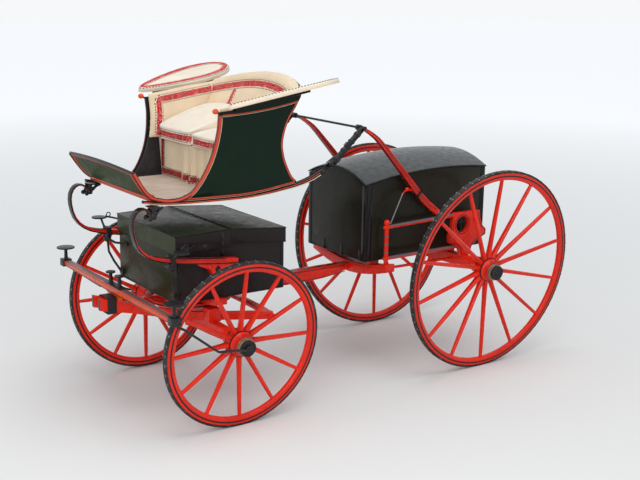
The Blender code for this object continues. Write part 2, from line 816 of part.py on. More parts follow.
def outrigger(side):
    """The outer roller bolt's socket over the splinter bar's end, and the stay down to the hub."""
    end = SPLINTER_HALF
    deep = SPLINTER_DEPTH / 2 * SPLINTER_TAPER
    tall = SPLINTER_HEIGHT / 2 * SPLINTER_TAPER
    wall = SOCKET_WALL
    spread = SOCKET_LENGTH / SPLINTER_HALF * (1 - SPLINTER_TAPER) * 1.1
    x, z = SPLINTER_X, SPLINTER_Z
    socket = block(
        (x - deep - wall, end - SOCKET_LENGTH, z - tall - wall),
        (x + deep + wall, end + wall, z + tall + wall),
    )

    def opening(u, v, w):
        grow = 1 if v > 0 else 1 + spread / SPLINTER_TAPER * 1.6
        y = end + GAP if v > 0 else end - SOCKET_LENGTH * 1.4
        return (x + u * (deep * grow + GAP), y, z + w * (tall * grow + GAP))

    socket = less(socket, shaped((0, 0, 0), opening))
    top = z + tall + wall
    bolt_y = end - SOCKET_LENGTH / 2
    post = rod((x, bolt_y, top - BITE), (x, bolt_y, top + ROLLER_HEIGHT), ROLLER_RADIUS + 0.003, ROLLER_RADIUS, 10)
    cap_z = top + ROLLER_HEIGHT
    head = rod((x, bolt_y, cap_z - BITE), (x, bolt_y, cap_z + 0.004), STEP_HEAD_RADIUS, sides=16)
    hub = Vector((WHEELBASE, TRACK / 2, FRONT_HUB_Z))
    face = NAVE_OUTER + BAND_LENGTH + CAP_LENGTH
    eye_from = hub + OUTWARD * (face + 0.004)
    eye_to = hub + OUTWARD * (face + BOSS_LENGTH - 0.001)
    eye = rod(eye_from, eye_to, BOSS_RADIUS + EYE_WALL, sides=16)
    eye_hole = rod(eye_from - OUTWARD * 0.02, eye_to + OUTWARD * 0.02, BOSS_RADIUS + RUN * 2, sides=16)
    eye_mid = (eye_from + eye_to) / 2
    stay = tube(
        [
            (x, end + wall / 2, z - tall - wall - 0.002),
            (x - 0.045, end + 0.014, z - 0.050),
            (x - 0.205, end + 0.022, FRONT_HUB_Z + 0.085),
            (x - 0.262, end + 0.020, FRONT_HUB_Z + 0.042),
            (WHEELBASE + 0.120, end, FRONT_HUB_Z + 0.022),
            (WHEELBASE + BOSS_RADIUS + EYE_WALL / 2, eye_mid.y, eye_mid.z),
        ],
        STAY_RADIUS,
    )
    return mirrored(less(united(socket, post, head, stay, eye), eye_hole), side)


# Upper turntable and front box


def upper_bolster():
    """The bed that carries the box and the perch over the turntable, with the king pin below it."""

    def place(u, v, w):
        narrow = 1.0 - 0.30 * v * v
        z = BOLSTER_TOP if w > 0 else BOLSTER_BOTTOM + 0.028 * abs(v) ** 3
        return (WHEELBASE + u * BOLSTER_DEPTH / 2 * narrow, v * BOLSTER_HALF, z)

    low = AXLE_TOP - BED_HEIGHT - 0.022
    pin = rod((WHEELBASE, 0, low), (WHEELBASE, 0, BOLSTER_TOP - 0.01), KINGPIN_RADIUS, sides=16)
    nut = rod((WHEELBASE, 0, low), (WHEELBASE, 0, low + 0.020), KINGPIN_RADIUS + 0.010, sides=6)
    ring = flat_ring(UPPER_RING_Z, RING_THICK + BITE / 2, False)
    return united(shaped((0, 7, 0), place), ring, pin, nut)


def box_top(x):
    if x < BOX_SEAM:
        return BOX_TOP_REAR + (BOX_TOP_SEAM - BOX_TOP_REAR) * (x - BOX_REAR) / (BOX_SEAM - BOX_REAR)
    return BOX_TOP_SEAM + (BOX_TOP_FRONT - BOX_TOP_SEAM) * (x - BOX_SEAM) / (BOX_FRONT - BOX_SEAM)


def along_box(u, rear, front):
    """Goes from rear to the lids' seam to front as u goes from -1 to 0 to 1."""
    return BOX_SEAM + u * (front - BOX_SEAM) if u > 0 else BOX_SEAM + u * (BOX_SEAM - rear)


def front_box():
    """Floor and four walls, with a cross bar under the seam of the two lids."""

    def hull(u, v, w):
        x = along_box(u, BOX_REAR, BOX_FRONT)
        return (x, v * BOX_HALF, box_top(x) if w > 0 else BOX_BOTTOM)

    inner = block(
        (BOX_REAR + BOARD, -BOX_HALF + BOARD, BOX_BOTTOM + BOARD),
        (BOX_FRONT - BOARD, BOX_HALF - BOARD, BOX_TOP_SEAM + 0.05),
    )
    low = (BOX_SEAM - BOARD, -BOX_HALF + BOARD / 2, BOX_TOP_SEAM - 0.040)
    bar = block(low, (BOX_SEAM + BOARD, BOX_HALF - BOARD / 2, BOX_TOP_SEAM - 0.001))
    return united(less(shaped((1, 0, 0), hull), inner), bar)


def box_lid(front):
    """A lid with a skirt round three sides, open towards the seam."""
    lap = GAP + LID_LAP
    low = BOX_SEAM + GAP if front else BOX_REAR - lap
    high = BOX_FRONT + lap if front else BOX_SEAM - GAP
    skirt = FRONT_SKIRT if front else REAR_SKIRT

    def hull(u, v, w):
        x = high if u > 0 else low
        z = box_top(x) + GAP
        return (x, v * (BOX_HALF + lap), z + LID_THICK if w > 0 else z - skirt)

    def under(u, v, w):
        x = (BOX_FRONT + GAP if u > 0 else low - 0.05) if front else (high + 0.05 if u > 0 else BOX_REAR - GAP)
        z = box_top(low if front else high) + (x - (low if front else high)) * lid_slope(front) + GAP
        return (x, v * (BOX_HALF + GAP), z if w > 0 else z - skirt * 1.5)

    return less(shaped((0, 0, 0), hull), shaped((0, 0, 0), under))


def lid_slope(front):
    if front:
        return (BOX_TOP_FRONT - BOX_TOP_SEAM) / (BOX_FRONT - BOX_SEAM)
    return (BOX_TOP_SEAM - BOX_TOP_REAR) / (BOX_SEAM - BOX_REAR)


# Springs, and what hangs on them

LID_SIDE = BOX_HALF + GAP + LID_LAP
ELBOW_WAY = smooth(ELBOW_PATH, 2)


def elbow_leaves(t):
    """One leaf at the scroll, a pack of them along the box."""
    return ELBOW_TIP + (ELBOW_ROOT - ELBOW_TIP) * min(1.0, max(0.0, (t - 0.45) / 0.35))


def elbow_outline(spare):
    return ribbon(ELBOW_WAY, lambda t: elbow_leaves(t) + spare, lambda t: spare)


def elbow_spring(side):
    """A C-shaped leaf spring with an eye at its tip, bolted to the box through a bracket with a round eye."""
    leaf = plate([elbow_outline(0.0)], ELBOW_Y, LEAF_WIDTH)
    rear, foot = ELBOW_PATH[-1][0] + BITE, ELBOW_PATH[-1][1] - ELBOW_ROOT + BITE
    front = rear + 0.285
    rise = foot + 0.028
    outline = [(rear, foot), (front, rise), (front - 0.030, rise - 0.022), (ELBOW_BOLT_X + 0.080, foot - 0.012)]
    outline += [
        (ELBOW_BOLT_X + 0.045 * cos(pi * step / 6), foot - 0.026 - 0.045 * sin(pi * step / 6)) for step in range(7)
    ]
    outline += [(ELBOW_BOLT_X - 0.080, foot - 0.016), (rear + 0.014, foot - 0.018)]
    inner, outer = BOX_HALF + GAP, ELBOW_Y + LEAF_WIDTH / 4
    hole = circle((ELBOW_BOLT_X, foot - 0.026), 0.020, 12)
    bracket = plate([outline, hole], (inner + outer) / 2, outer - inner)
    eye = eye_block(ELBOW_EYE, ELBOW_Y, LEAF_WIDTH - 2 * SHY, EYE_RADIUS)
    whole = united(leaf, bracket, eye)
    return mirrored(less(whole, pin_hole(ELBOW_EYE, ELBOW_Y)), side)


def eye_block(centre, y, width, radius):
    """A short round block across the carriage."""
    return rod((centre[0], y - width / 2, centre[1]), (centre[0], y + width / 2, centre[1]), radius, sides=14)


def pin_hole(centre, y):
    return rod((centre[0], y - 0.1, centre[1]), (centre[0], y + 0.1, centre[1]), PIN_RADIUS + GAP * 2, sides=12)


def body_loop(side):
    """A bolt through the spring's eye, and two cheeks that carry the body's sill on a plate."""
    x, z = ELBOW_EYE
    inner, outer = ELBOW_Y - LEAF_WIDTH / 2 - GAP, ELBOW_Y + LEAF_WIDTH / 2 + GAP
    rear = x - 0.050
    top = between(SILL_LINE, rear, 0, 1) - GAP
    low = top - CHEEK_THICK
    pieces = [rod((x, inner - CHEEK_THICK - 0.006, z), (x, outer + CHEEK_THICK + 0.006, z), PIN_RADIUS, sides=12)]
    for y in (inner - CHEEK_THICK, outer):
        pieces.append(block((x - 0.013, y, z - 0.015), (x + 0.013, y + CHEEK_THICK, top - CHEEK_THICK / 2)))
    rest = block((rear, SILL_Y - SILL_WIDTH / 2, low), (x + 0.013, outer + CHEEK_THICK, top))
    return mirrored(united(rest, *pieces), side)


def step_iron(side):
    """A clamp round the elbow spring, its ball, the stays to the box, and the step's tread."""
    x = BOX_FRONT + 0.062
    top = between(ELBOW_PATH, x, 0, 1)
    inner, outer = ELBOW_Y - LEAF_WIDTH / 2, ELBOW_Y + LEAF_WIDTH / 2
    wall = CLAMP_WALL
    clamp = block(
        (x - CLAMP_DEPTH / 2, inner - wall, top - ELBOW_ROOT - wall - 0.004),
        (x + CLAMP_DEPTH / 2, outer + wall, top + wall + 0.004),
    )
    slot = plate([elbow_outline(GAP)], ELBOW_Y, LEAF_WIDTH + 2 * GAP)
    clamp = less(clamp, slot)
    low = top - ELBOW_ROOT - wall - 0.018
    nut = ball((x, ELBOW_Y, low), 0.026)
    face = BOX_FRONT + GAP
    foot_z = BOX_BOTTOM + 0.040
    stay = tube(
        [
            (x, ELBOW_Y, low),
            (x - 0.006, ELBOW_Y - 0.004, low - 0.090),
            (x - 0.030, BOX_HALF + 0.026, foot_z + 0.060),
            (face + STAY_RADIUS + GAP, BOX_HALF - 0.030, foot_z),
        ],
        STAY_RADIUS,
    )
    thick = STAY_RADIUS + SHY
    foot = block((face, BOX_HALF - 0.055, foot_z - 0.020), (face + thick, BOX_HALF - 0.010, foot_z + 0.020))
    arm_z = low - 0.012
    arm_end = (face + STAY_RADIUS + GAP, BOX_HALF - 0.10, arm_z)
    arm = tube([(x, ELBOW_Y, low), (x - 0.010, BOX_HALF - 0.04, arm_z), arm_end], STAY_RADIUS)
    pad = block((face, BOX_HALF - 0.125, arm_z - 0.014), (face + thick, BOX_HALF - 0.075, arm_z + 0.014))
    tread_z = top + 0.052
    tread_y = ELBOW_Y + 0.125
    tread = rod((x, tread_y, tread_z), (x, tread_y, tread_z + 0.008), 0.050, sides=14)
    neck = tube([(x, outer + wall / 2, top), (x, outer + 0.040, top + 0.020), (x, tread_y - 0.030, tread_z + 0.003)], STAY_RADIUS)
    return mirrored(united(clamp, nut, stay, foot, arm, pad, neck, tread), side)


# Perch, rear frame and trunk


def perch():
    """The bar that ties the turntable to the rear bed, deepest in its middle."""
    front = WHEELBASE - BOLSTER_DEPTH / 2 - GAP
    rear = REAR_BED_X + REAR_BED_DEPTH / 2 + GAP
    ring_top = BOLSTER_BOTTOM + BITE + GAP * 2
    clear_x = WHEELBASE - RING_RADIUS - 0.02

    def place(u, v, w):
        x = rear + (u + 1) / 2 * (front - rear)
        share = (x - rear) / (clear_x - rear)
        low = ring_top if x > clear_x else PERCH_BELLY + (ring_top - PERCH_BELLY) * abs(2 * share - 1) ** 3
        return (x, v * PERCH_HALF, PERCH_TOP if w > 0 else low)

    return shaped((14, 0, 0), place)


def rear_bed_top(y):
    return REAR_BED_TOP + REAR_BED_RISE * (abs(y) / REAR_BED_HALF) ** 1.6


def rear_bed():
    """The cross bed that the perch ends in, with two blocks that carry the trunk."""

    def place(u, v, w):
        y = v * REAR_BED_HALF
        z = rear_bed_top(y) - (0 if w > 0 else REAR_BED_HEIGHT * (1 - 0.25 * v * v))
        return (REAR_BED_X + u * REAR_BED_DEPTH / 2, y, z)

    pads = []
    for side in (1, -1):
        y = side * (TRUNK_HALF - 0.10)
        low = (REAR_BED_X - PAD_HALF, y - PAD_HALF, rear_bed_top(y - PAD_HALF) - 2 * BITE)
        pads.append(block(low, (REAR_BED_X + PAD_HALF, y + PAD_HALF, TRUNK_BOTTOM - GAP)))
    return united(shaped((0, 9, 0), place), *pads)


def upper_rail_z(x):
    return UPPER_RAIL_Z + UPPER_RAIL_RISE * (POST_X - x) / POST_X


def rear_frame(side):
    """A turned post, two rails and the scroll bracket that stands on the rear axle's bed."""
    foot = REAR_HUB_Z + BED_OVER_HUB + GAP
    top = upper_rail_z(0) + RAIL_RADIUS
    outline = [
        (-0.120, top),
        (-0.128, top - 0.060),
        (-0.150, top - 0.110),
        (-0.188, top - 0.145),
        (-0.186, top - 0.185),
        (-0.100, top - 0.220),
        (-0.055, foot + 0.060),
        (-0.040, foot),
        (0.040, foot),
        (0.060, foot + 0.055),
        (0.100, top - 0.235),
        (0.152, top - 0.215),
        (0.158, top - 0.165),
        (0.135, top - 0.110),
        (0.128, top - 0.040),
        (0.110, top),
    ]
    bracket = plate([outline, circle((0.040, top - 0.088), 0.060)], FRAME_Y, FRAME_THICK)
    post_low = rear_bed_top(FRAME_Y + POST_RADIUS) + GAP
    post_top = upper_rail_z(POST_X) + RAIL_RADIUS + 0.006
    post = rod((POST_X, FRAME_Y, post_low), (POST_X, FRAME_Y, post_top), POST_RADIUS, sides=10)
    knob = ball((POST_X, FRAME_Y, post_top + KNOB_RADIUS * 0.6), KNOB_RADIUS)
    upper = rod((POST_X, FRAME_Y, upper_rail_z(POST_X)), (-0.100, FRAME_Y, upper_rail_z(-0.100) - 0.002), RAIL_RADIUS, sides=8)
    lower = rod((POST_X, FRAME_Y, LOWER_RAIL_Z), (0.030, FRAME_Y, LOWER_RAIL_Z + 0.006), RAIL_RADIUS, sides=8)
    return mirrored(united(bracket, post, knob, upper, lower), side)


def rear_axle():
    """The rear bed with blocks that carry the trunk, and two iron rods forward to the cross bed."""
    z = REAR_HUB_Z + BED_OVER_HUB - BED_HEIGHT / 2
    y = TRUNK_HALF - 0.04
    low = rear_bed_top(y) - REAR_BED_HEIGHT
    rods = []
    for side in (1, -1):
        end = (REAR_BED_X - REAR_BED_DEPTH / 2 - GAP, side * y, low + 0.036)
        rods.append(rod((0, side * y, z), end, RAIL_RADIUS * 0.8, sides=10))
    return united(axle(0.0, REAR_HUB_Z, pad_top=TRUNK_BOTTOM - GAP), *rods)


def lid_z(x, y):
    """The trunk lid's upper face: it bows along its length and is vaulted across."""
    share = (x - TRUNK_REAR) / (TRUNK_FRONT - TRUNK_REAR)
    edge = TRUNK_REAR_TOP + (TRUNK_FRONT_TOP - TRUNK_REAR_TOP) * share
    bow = 4 * TRUNK_ARCH * share * (1 - share)
    return edge + bow + LID_CROWN * (1 - min(1.0, abs(y) / TRUNK_HALF) ** 2)


def trunk_grid(rear, front, half, top_drop, low, cuts=(6, 8, 0)):
    def place(u, v, w):
        x = rear + (u + 1) / 2 * (front - rear)
        y = v * half
        top = lid_z(x, y) - top_drop
        return (x, y, top if w > 0 else low(top))

    return shaped(cuts, place)


def trunk():
    """The rear trunk's floor, sides and rear wall: its front is a drop door and its top a vaulted lid."""
    drop = LID_THICK + 3 * GAP
    outer = trunk_grid(TRUNK_REAR, TRUNK_FRONT, TRUNK_HALF, drop, lambda top: TRUNK_BOTTOM)
    inner = block(
        (TRUNK_REAR + TRUNK_BOARD, -TRUNK_HALF + TRUNK_BOARD, TRUNK_BOTTOM + TRUNK_BOARD),
        (TRUNK_FRONT + 0.1, TRUNK_HALF - TRUNK_BOARD, TRUNK_REAR_TOP + 0.3),
    )
    return less(outer, inner)


def trunk_door():
    rear = TRUNK_FRONT + GAP
    front = rear + TRUNK_BOARD
    return trunk_grid(rear, front, TRUNK_HALF, LID_THICK + GAP * 4, lambda top: TRUNK_BOTTOM, (0, 8, 0))


def trunk_lid():
    half = TRUNK_HALF + LID_OVERHANG
    front = TRUNK_FRONT + GAP + TRUNK_BOARD + LID_OVERHANG
    return trunk_grid(TRUNK_REAR - LID_OVERHANG, front, half, 0.0, lambda top: top - LID_THICK)


WHIP_WAY = smooth(WHIP_PATH, 2)


def whip_spring(side):
    """A long leaf spring from the rear frame up to the brace, with its clip, knob and thin rod."""

    def leaves(t):
        return WHIP_TIP + (WHIP_ROOT - WHIP_TIP) * min(1.0, t * 1.3)

    leaf = plate([ribbon(WHIP_WAY, leaves, none)], WHIP_Y, WHIP_WIDTH)
    eye = eye_block(WHIP_EYE, WHIP_Y, WHIP_WIDTH - 2 * SHY, EYE_RADIUS)
    clip_x, clip_z = WHIP_PATH[-3]
    rest_x = POST_X - 0.030
    rest_z = upper_rail_z(rest_x) + RAIL_RADIUS + STAY_RADIUS * 0.7 + GAP
    knob_at = (clip_x + 0.092, WHIP_Y + 0.006, clip_z - 0.004)
    horn = tube([(clip_x + 0.012, WHIP_Y, clip_z - 0.020), (clip_x + 0.050, WHIP_Y, clip_z - 0.012), knob_at], 0.009)
    knob = ball(knob_at, 0.015, 8)
    thin = tube([knob_at, (clip_x + 0.138, FRAME_Y - 0.004, clip_z - 0.028), (rest_x, FRAME_Y, rest_z)], STAY_RADIUS * 0.6)
    seat = block((-0.3, 0, UPPER_RAIL_Z - 0.3), (clip_x, 1, upper_rail_z(WHIP_PATH[-1][0]) + RAIL_RADIUS + GAP))
    whole = united(less(united(leaf, eye), seat), horn, knob, thin)
    return mirrored(less(whole, pin_hole(WHIP_EYE, WHIP_Y)), side)


BRACE_Y = WHIP_Y + WHIP_WIDTH / 2 + GAP + BRACE_WIDTH / 2
PIN_END = BRACE_Y + BRACE_WIDTH / 2 + GAP


def cross_stay():
    """The rod between the whip springs' heads, which the braces hang on."""
    x, z = WHIP_EYE
    ends = []
    for side in (1, -1):
        ends.append(rod((x, side * PIN_END, z), (x, side * (PIN_END + 0.010), z), PIN_RADIUS + 0.006, sides=12))
    return united(rod((x, -PIN_END - 0.004, z), (x, PIN_END + 0.004, z), PIN_RADIUS, sides=12), *ends)


def brace(side):
    """A doubled leather strap from the whip spring's head to the pin at the end of the sill."""
    high, low = Vector(WHIP_EYE), Vector(handle_pin())
    strap = plate([ribbon([high, low], lambda t: BRACE_THICK / 2, lambda t: BRACE_THICK / 2)], BRACE_Y, BRACE_WIDTH - 2 * SHY)
    loops = [eye_block(end, BRACE_Y, BRACE_WIDTH, EYE_RADIUS) for end in (high, low)]
    whole = united(strap, *loops)
    return mirrored(less(whole, pin_hole(high, BRACE_Y), pin_hole(low, BRACE_Y)), side)


# Body


def outer_y(z):
    """Half-width of the body's outside at a height."""
    return BODY_HALF + FLARE * (z - BODY_FOOT_Z)


def inner_y(z):
    return outer_y(z) - SIDE_THICK


SILL_WAY = smooth(SILL_LINE, 1)
SILL_Y = BODY_HALF


def sill_thick(t):
    """Thin under the footboard, thicker where the handle runs free to the brace."""
    return SILL_FRONT_THICK + (SILL_REAR_THICK - SILL_FRONT_THICK) * max(0.0, (t - 0.5) / 0.5)


def handle_pin():
    x, z = SILL_LINE[-1]
    return (x + 0.004, z + SILL_REAR_THICK / 2)


def sill(side):
    """The pump handle: it carries the body and runs back to the brace's pin."""
    bar = plate([ribbon(SILL_WAY, none, sill_thick)], SILL_Y, SILL_WIDTH)
    x, z = handle_pin()
    inner = SILL_Y - SILL_WIDTH / 2
    web = BRACE_Y - BRACE_WIDTH / 2 - GAP
    room = block((x - 0.1, web, z - 0.1), (x + EYE_RADIUS * 1.6, web + 0.1, z + 0.1))
    end = rod((x, inner + SHY, z), (x, web - SHY, z), EYE_RADIUS, sides=14)
    pin = rod((x, inner + BITE, z), (x, PIN_END + 0.004, z), PIN_RADIUS, sides=12)
    head = rod((x, PIN_END, z), (x, PIN_END + 0.010, z), PIN_RADIUS + 0.006, sides=12)
    return mirrored(united(less(bar, room), end, pin, head), side)


def wing_axes():
    """The arm wing's long axis to the rear, its axis outward, and its face's normal."""
    rear = Vector((-cos(WING_RISE) * cos(WING_SPLAY), cos(WING_RISE) * sin(WING_SPLAY), sin(WING_RISE)))
    out = Vector((0, cos(WING_TILT), sin(WING_TILT)))
    out = (out - rear * out.dot(rear)).normalized()
    return rear, out, out.cross(rear).normalized()


def wing(side):
    """A padded board like half an egg, crowned on the side that faces in."""
    rear, out, up = wing_axes()

    def place(u, v, w):
        along = u * (1 - v * v / 2) ** 0.5
        across = v * (1 - u * u / 2) ** 0.5
        round_off = 1 - along**2 - across**2
        height = (0.8 + 0.2 * max(0.0, round_off) ** 0.5 if w > 0 else 0.0) * WING_THICK
        wide = WING_HALF_WIDTH * (1 + WING_EGG * along)
        return Vector(WING_CENTRE) + rear * along * WING_HALF_LENGTH + out * across * wide + up * height

    return mirrored(shaped((7, 5, 0), place), side)


def arm_board():
    """The plank under the wing, let into the top of the side."""
    rear, out, up = wing_axes()

    def place(u, v, w):
        along = -ARM_BOARD_FRONT + (u + 1) / 2 * (ARM_BOARD_REAR + ARM_BOARD_FRONT)
        at = Vector(WING_CENTRE) + rear * along - up * (GAP if w > 0 else ARM_BOARD_THICK)
        if v > 0:
            return at + out * ARM_BOARD_OUT
        # The inner edge lies at the middle of the side's thickness
        off = at.y - (outer_y(at.z) - SIDE_THICK / 2)
        return at - out * off / (out.y - FLARE * out.z)

    return shaped((5, 0, 0), place)


def body_side(side):
    """One side of the body: an S-curved panel that leans out, the arm board, and the knob at its front."""
    foot = [point for point in BACK_EDGE if point[1] < TOP_EDGE[0][1] - 0.01]
    outline = foot + TOP_EDGE + FRONT_EDGE
    panel = plate([outline], 0, SIDE_THICK)
    top = ribbon(SILL_WAY, none, lambda t: sill_thick(t) + GAP)[len(SILL_WAY) :]
    under = [(top[0][0] - 0.1, 1.2), *top, (top[-1][0] + 0.1, 1.2)]
    panel = less(panel, plate([under], 0, SIDE_THICK * 3))
    for vert in panel.data.vertices:
        vert.co.y += outer_y(vert.co.z) - SIDE_THICK / 2
    front_x, top_z = FRONT_EDGE[0]
    y = inner_y(top_z) + SIDE_THICK / 2
    knob_at = (front_x + KNOB_AHEAD, y + 0.006, top_z + 0.006)
    neck = rod((front_x - 0.012, y, top_z - 0.012), knob_at, 0.007, sides=8)
    return mirrored(united(panel, arm_board(), neck, ball(knob_at, 0.014, 8)), side)


def floor_board():
    half = inner_y(FLOOR_TOP - FLOOR_THICK) - GAP
    return block((FLOOR_REAR, -half, FLOOR_TOP - FLOOR_THICK), (FLOOR_FRONT, half, FLOOR_TOP))


def dash():
    """The curved board in front of the feet, wider and crowned at its top."""
    way = smooth(DASH_LINE, 2)
    last = len(way) - 1

    def place(u, v, w):
        index = round((w + 1) / 2 * last)
        along = (way[min(index + 1, last)] - way[max(index - 1, 0)]).normalized()
        share = index / last
        half = DASH_BOTTOM_HALF + (DASH_TOP_HALF - DASH_BOTTOM_HALF) * share
        at = way[index] + Vector((along.y, -along.x)) * u * DASH_THICK / 2
        at += along * DASH_CROWN * share**3 * (1 - v * v)
        return (at.x, v * half, at.y)

    return shaped((0, 5, last - 1), place)


def bulge(z):
    """How far the back stands behind the side panels' rear edges, in its middle."""
    share = min(1.0, max(0.0, (z - BACK_EDGE[1][1]) / 0.30))
    return BACK_BULGE * share * share * (3 - 2 * share)


def back_x(y, z):
    """The front face of the back panel."""
    v = min(1.0, abs(y) / inner_y(z))
    return between(BACK_EDGE, z, 1, 0) + SIDE_THICK - bulge(z) * (1 - v**3)


def squab_x(y, z):
    """The squab's front face where it is fullest."""
    return back_x(y, z) + SQUAB_SPACE + SQUAB_THICK + SQUAB_SWELL


def back_panel():
    low = FLOOR_TOP + GAP

    def place(u, v, w):
        high = BACK_SIDE_TOP + SQUAB_ARCH * (1 - v * v)
        z = low + (w + 1) / 2 * (high - low)
        y = v * (inner_y(z) - SHY)
        return (back_x(y, z) - (0 if u > 0 else BACK_THICK), y, z)

    return shaped((0, 7, 7), place)


def seat_frame():
    """The seat board and the riser below its front edge."""

    def board(u, v, w):
        z = SEAT_TOP if w > 0 else SEAT_TOP - SEAT_THICK
        y = v * (inner_y(SEAT_TOP - SEAT_THICK) - GAP)
        return (SEAT_FRONT if u > 0 else back_x(y, SEAT_TOP) + 0.004, y, z)

    def riser(u, v, w):
        z = SEAT_TOP - SEAT_THICK / 2 if w > 0 else FLOOR_TOP + GAP
        return (SEAT_FRONT - (0 if u > 0 else RISER_THICK), v * (inner_y(z) - GAP * 2), z)

    return united(shaped((0, 7, 0), board), shaped((0, 0, 0), riser))


def fall_front(v, z):
    """The seat fall's folds: they deepen from its top edge down."""
    share = (SEAT_TOP - z) / (SEAT_TOP - FLOOR_TOP)
    return FALL_DEPTH * (0.35 + 0.65 * share) * (0.5 + 0.5 * cos(v * pi * FALL_PLEATS))


def seat_fall():
    """Pleated cloth that hangs from the seat's front edge to the floor."""
    low, high = FLOOR_TOP + 0.004, SEAT_TOP - GAP

    def place(u, v, w):
        z = low + (w + 1) / 2 * (high - low)
        x = SEAT_FRONT + GAP * 2
        if u > 0:
            x += FALL_THICK + fall_front(v, z)
        return (x, v * (inner_y(z) - 0.006), z)

    return shaped((0, FALL_PLEATS * 4 - 1, 1), place)


CUSHION_LOW = SEAT_TOP + GAP


def side_lining(side):
    """The padded lining inside a body side, from the squab to the panel's front edge."""

    def place(u, v, w):
        share = (u + 1) / 2
        top = LINING_REAR_TOP + (LINING_FRONT_TOP - LINING_REAR_TOP) * share
        z = CUSHION_LOW + (w + 1) / 2 * (top - CUSHION_LOW)
        wall = inner_y(z) - GAP
        rear = squab_x(wall, z) + GAP * 2
        front = between(FRONT_EDGE, z, 1, 0) - SIDE_THICK
        swell = LINING_SWELL * (1 - u * u) * (1 - w * w)
        return (rear + share * (front - rear), wall if v > 0 else wall - LINING_THICK - swell, z)

    return mirrored(shaped((4, 0, 4), place), side)


def squab():
    """The back cushion: it follows the curved back, with rounded corners and an arched top."""

    def place(u, v, w):
        high = SQUAB_SIDE_TOP + SQUAB_ARCH * (1 - v * v)
        z = CUSHION_LOW + (w + 1) / 2 * (high - CUSHION_LOW)
        y = v * (inner_y(z) - GAP * 2)
        back = back_x(y, z) + SQUAB_SPACE
        swell = SQUAB_SWELL * (1 - v**4) * (1 - w**4)
        return (back if u < 0 else back + SQUAB_THICK + swell, y, z)

    return shaped((0, 7, 6), place)


def cushion(right, left, front_top, rear_top):
    """A seat cushion with a crown and drawn-in sides. right and left are its edges as functions of height."""

    def place(u, v, w):
        share = (u + 1) / 2
        top = rear_top + (front_top - rear_top) * share**1.2
        draw = CUSHION_DRAW * (1 - w * w)
        z = CUSHION_LOW + (w + 1) / 2 * (top - CUSHION_LOW)
        low_y, high_y = right(z), left(z)
        y = (low_y + high_y) / 2 + v * ((high_y - low_y) / 2 - draw)
        rear = squab_x(y, z) + SQUAB_SPACE + draw
        x = rear + share * (CUSHION_FRONT - draw - rear)
        if w > 0:
            edge = max(abs(u), abs(v)) ** 6
            z += CUSHION_CROWN * (w * (1 - u * u) * (1 - v * v) - 0.5 * edge)
        return (x, y, z)

    return shaped((5, 6, 3), place)


def lining_face(z):
    return inner_y(z) - 2 * SHY - LINING_THICK - LINING_SWELL


# Putting it together

fore = pivot("fore_carriage_pin", (WHEELBASE, 0, AXLE_TOP))
for side in (1, -1):
    wheel("rear", side, 0.0, REAR_HUB_Z, REAR_RADIUS, REAR_SPOKES, False, None)
    wheel("front", side, WHEELBASE, FRONT_HUB_Z, FRONT_RADIUS, FRONT_SPOKES, True, fore)
    at = side_name(side)
    finished(f"outrigger_{at}", outrigger(side), "black_iron", fore.location, fore)
    finished(f"elbow_spring_{at}", elbow_spring(side), "red")
    finished(f"body_loop_{at}", body_loop(side), "black_iron")
    finished(f"step_iron_{at}", step_iron(side), "black_iron")
    finished(f"rear_frame_{at}", rear_frame(side), "red")
    finished(f"whip_spring_{at}", whip_spring(side), "red")
    finished(f"brace_{at}", brace(side), "leather")
    finished(f"sill_{at}", sill(side), "black_iron")
    finished(f"body_side_{at}", body_side(side), "body_green")
    finished(f"side_lining_{at}", side_lining(side), "cloth")
    finished(f"wing_{at}", wing(side), "cloth")

finished("front_axle", axle(WHEELBASE, FRONT_HUB_Z, pin=True), "red", fore.location, fore)
finished("futchells", futchells(), "red", fore.location, fore)
finished("lower_turntable", flat_ring(LOWER_RING_Z, RING_THICK, True), "black_iron", fore.location, fore)
finished("splinter_bar", splinter_bar(), "orange_red", fore.location, fore)
finished("roller_bolts", roller_bolts(), "black_iron", fore.location, fore)
finished("pole_strap", pole_strap(), "leather", fore.location, fore)

finished("upper_bolster", upper_bolster(), "red")
finished("front_box", front_box(), "dark_box")
finished("box_lid_front", box_lid(True), "dark_box", (BOX_SEAM, 0, BOX_TOP_SEAM + LID_THICK))
finished("box_lid_rear", box_lid(False), "dark_box", (BOX_SEAM, 0, BOX_TOP_SEAM + LID_THICK))
finished("perch", perch(), "red")
finished("rear_bed", rear_bed(), "red")
finished("rear_axle", rear_axle(), "red")
finished("trunk", trunk(), "dark_box")
finished("trunk_door", trunk_door(), "dark_box", (TRUNK_FRONT + GAP + TRUNK_BOARD, 0, TRUNK_BOTTOM))
finished("trunk_lid", trunk_lid(), "dark_box", (TRUNK_REAR - LID_OVERHANG, 0, TRUNK_REAR_TOP - LID_THICK))
finished("cross_stay", cross_stay(), "black_iron")
finished("floor_board", floor_board(), "body_green")
finished("dash", dash(), "body_green")
finished("back_panel", back_panel(), "body_green")
finished("seat_frame", seat_frame(), "body_green")
finished("seat_fall", seat_fall(), "cloth")
finished("squab", squab(), "cloth")


def right_of_split(z):
    return CUSHION_SPLIT - GAP


def left_of_split(z):
    return CUSHION_SPLIT + GAP


def right_lining(z):
    return -lining_face(z)


driver = cushion(right_lining, right_of_split, DRIVER_FRONT_TOP, DRIVER_REAR_TOP)
passenger = cushion(left_of_split, lining_face, PASSENGER_FRONT_TOP, PASSENGER_REAR_TOP)
finished("driver_cushion", driver, "cloth")
finished("passenger_cushion", passenger, "cloth")

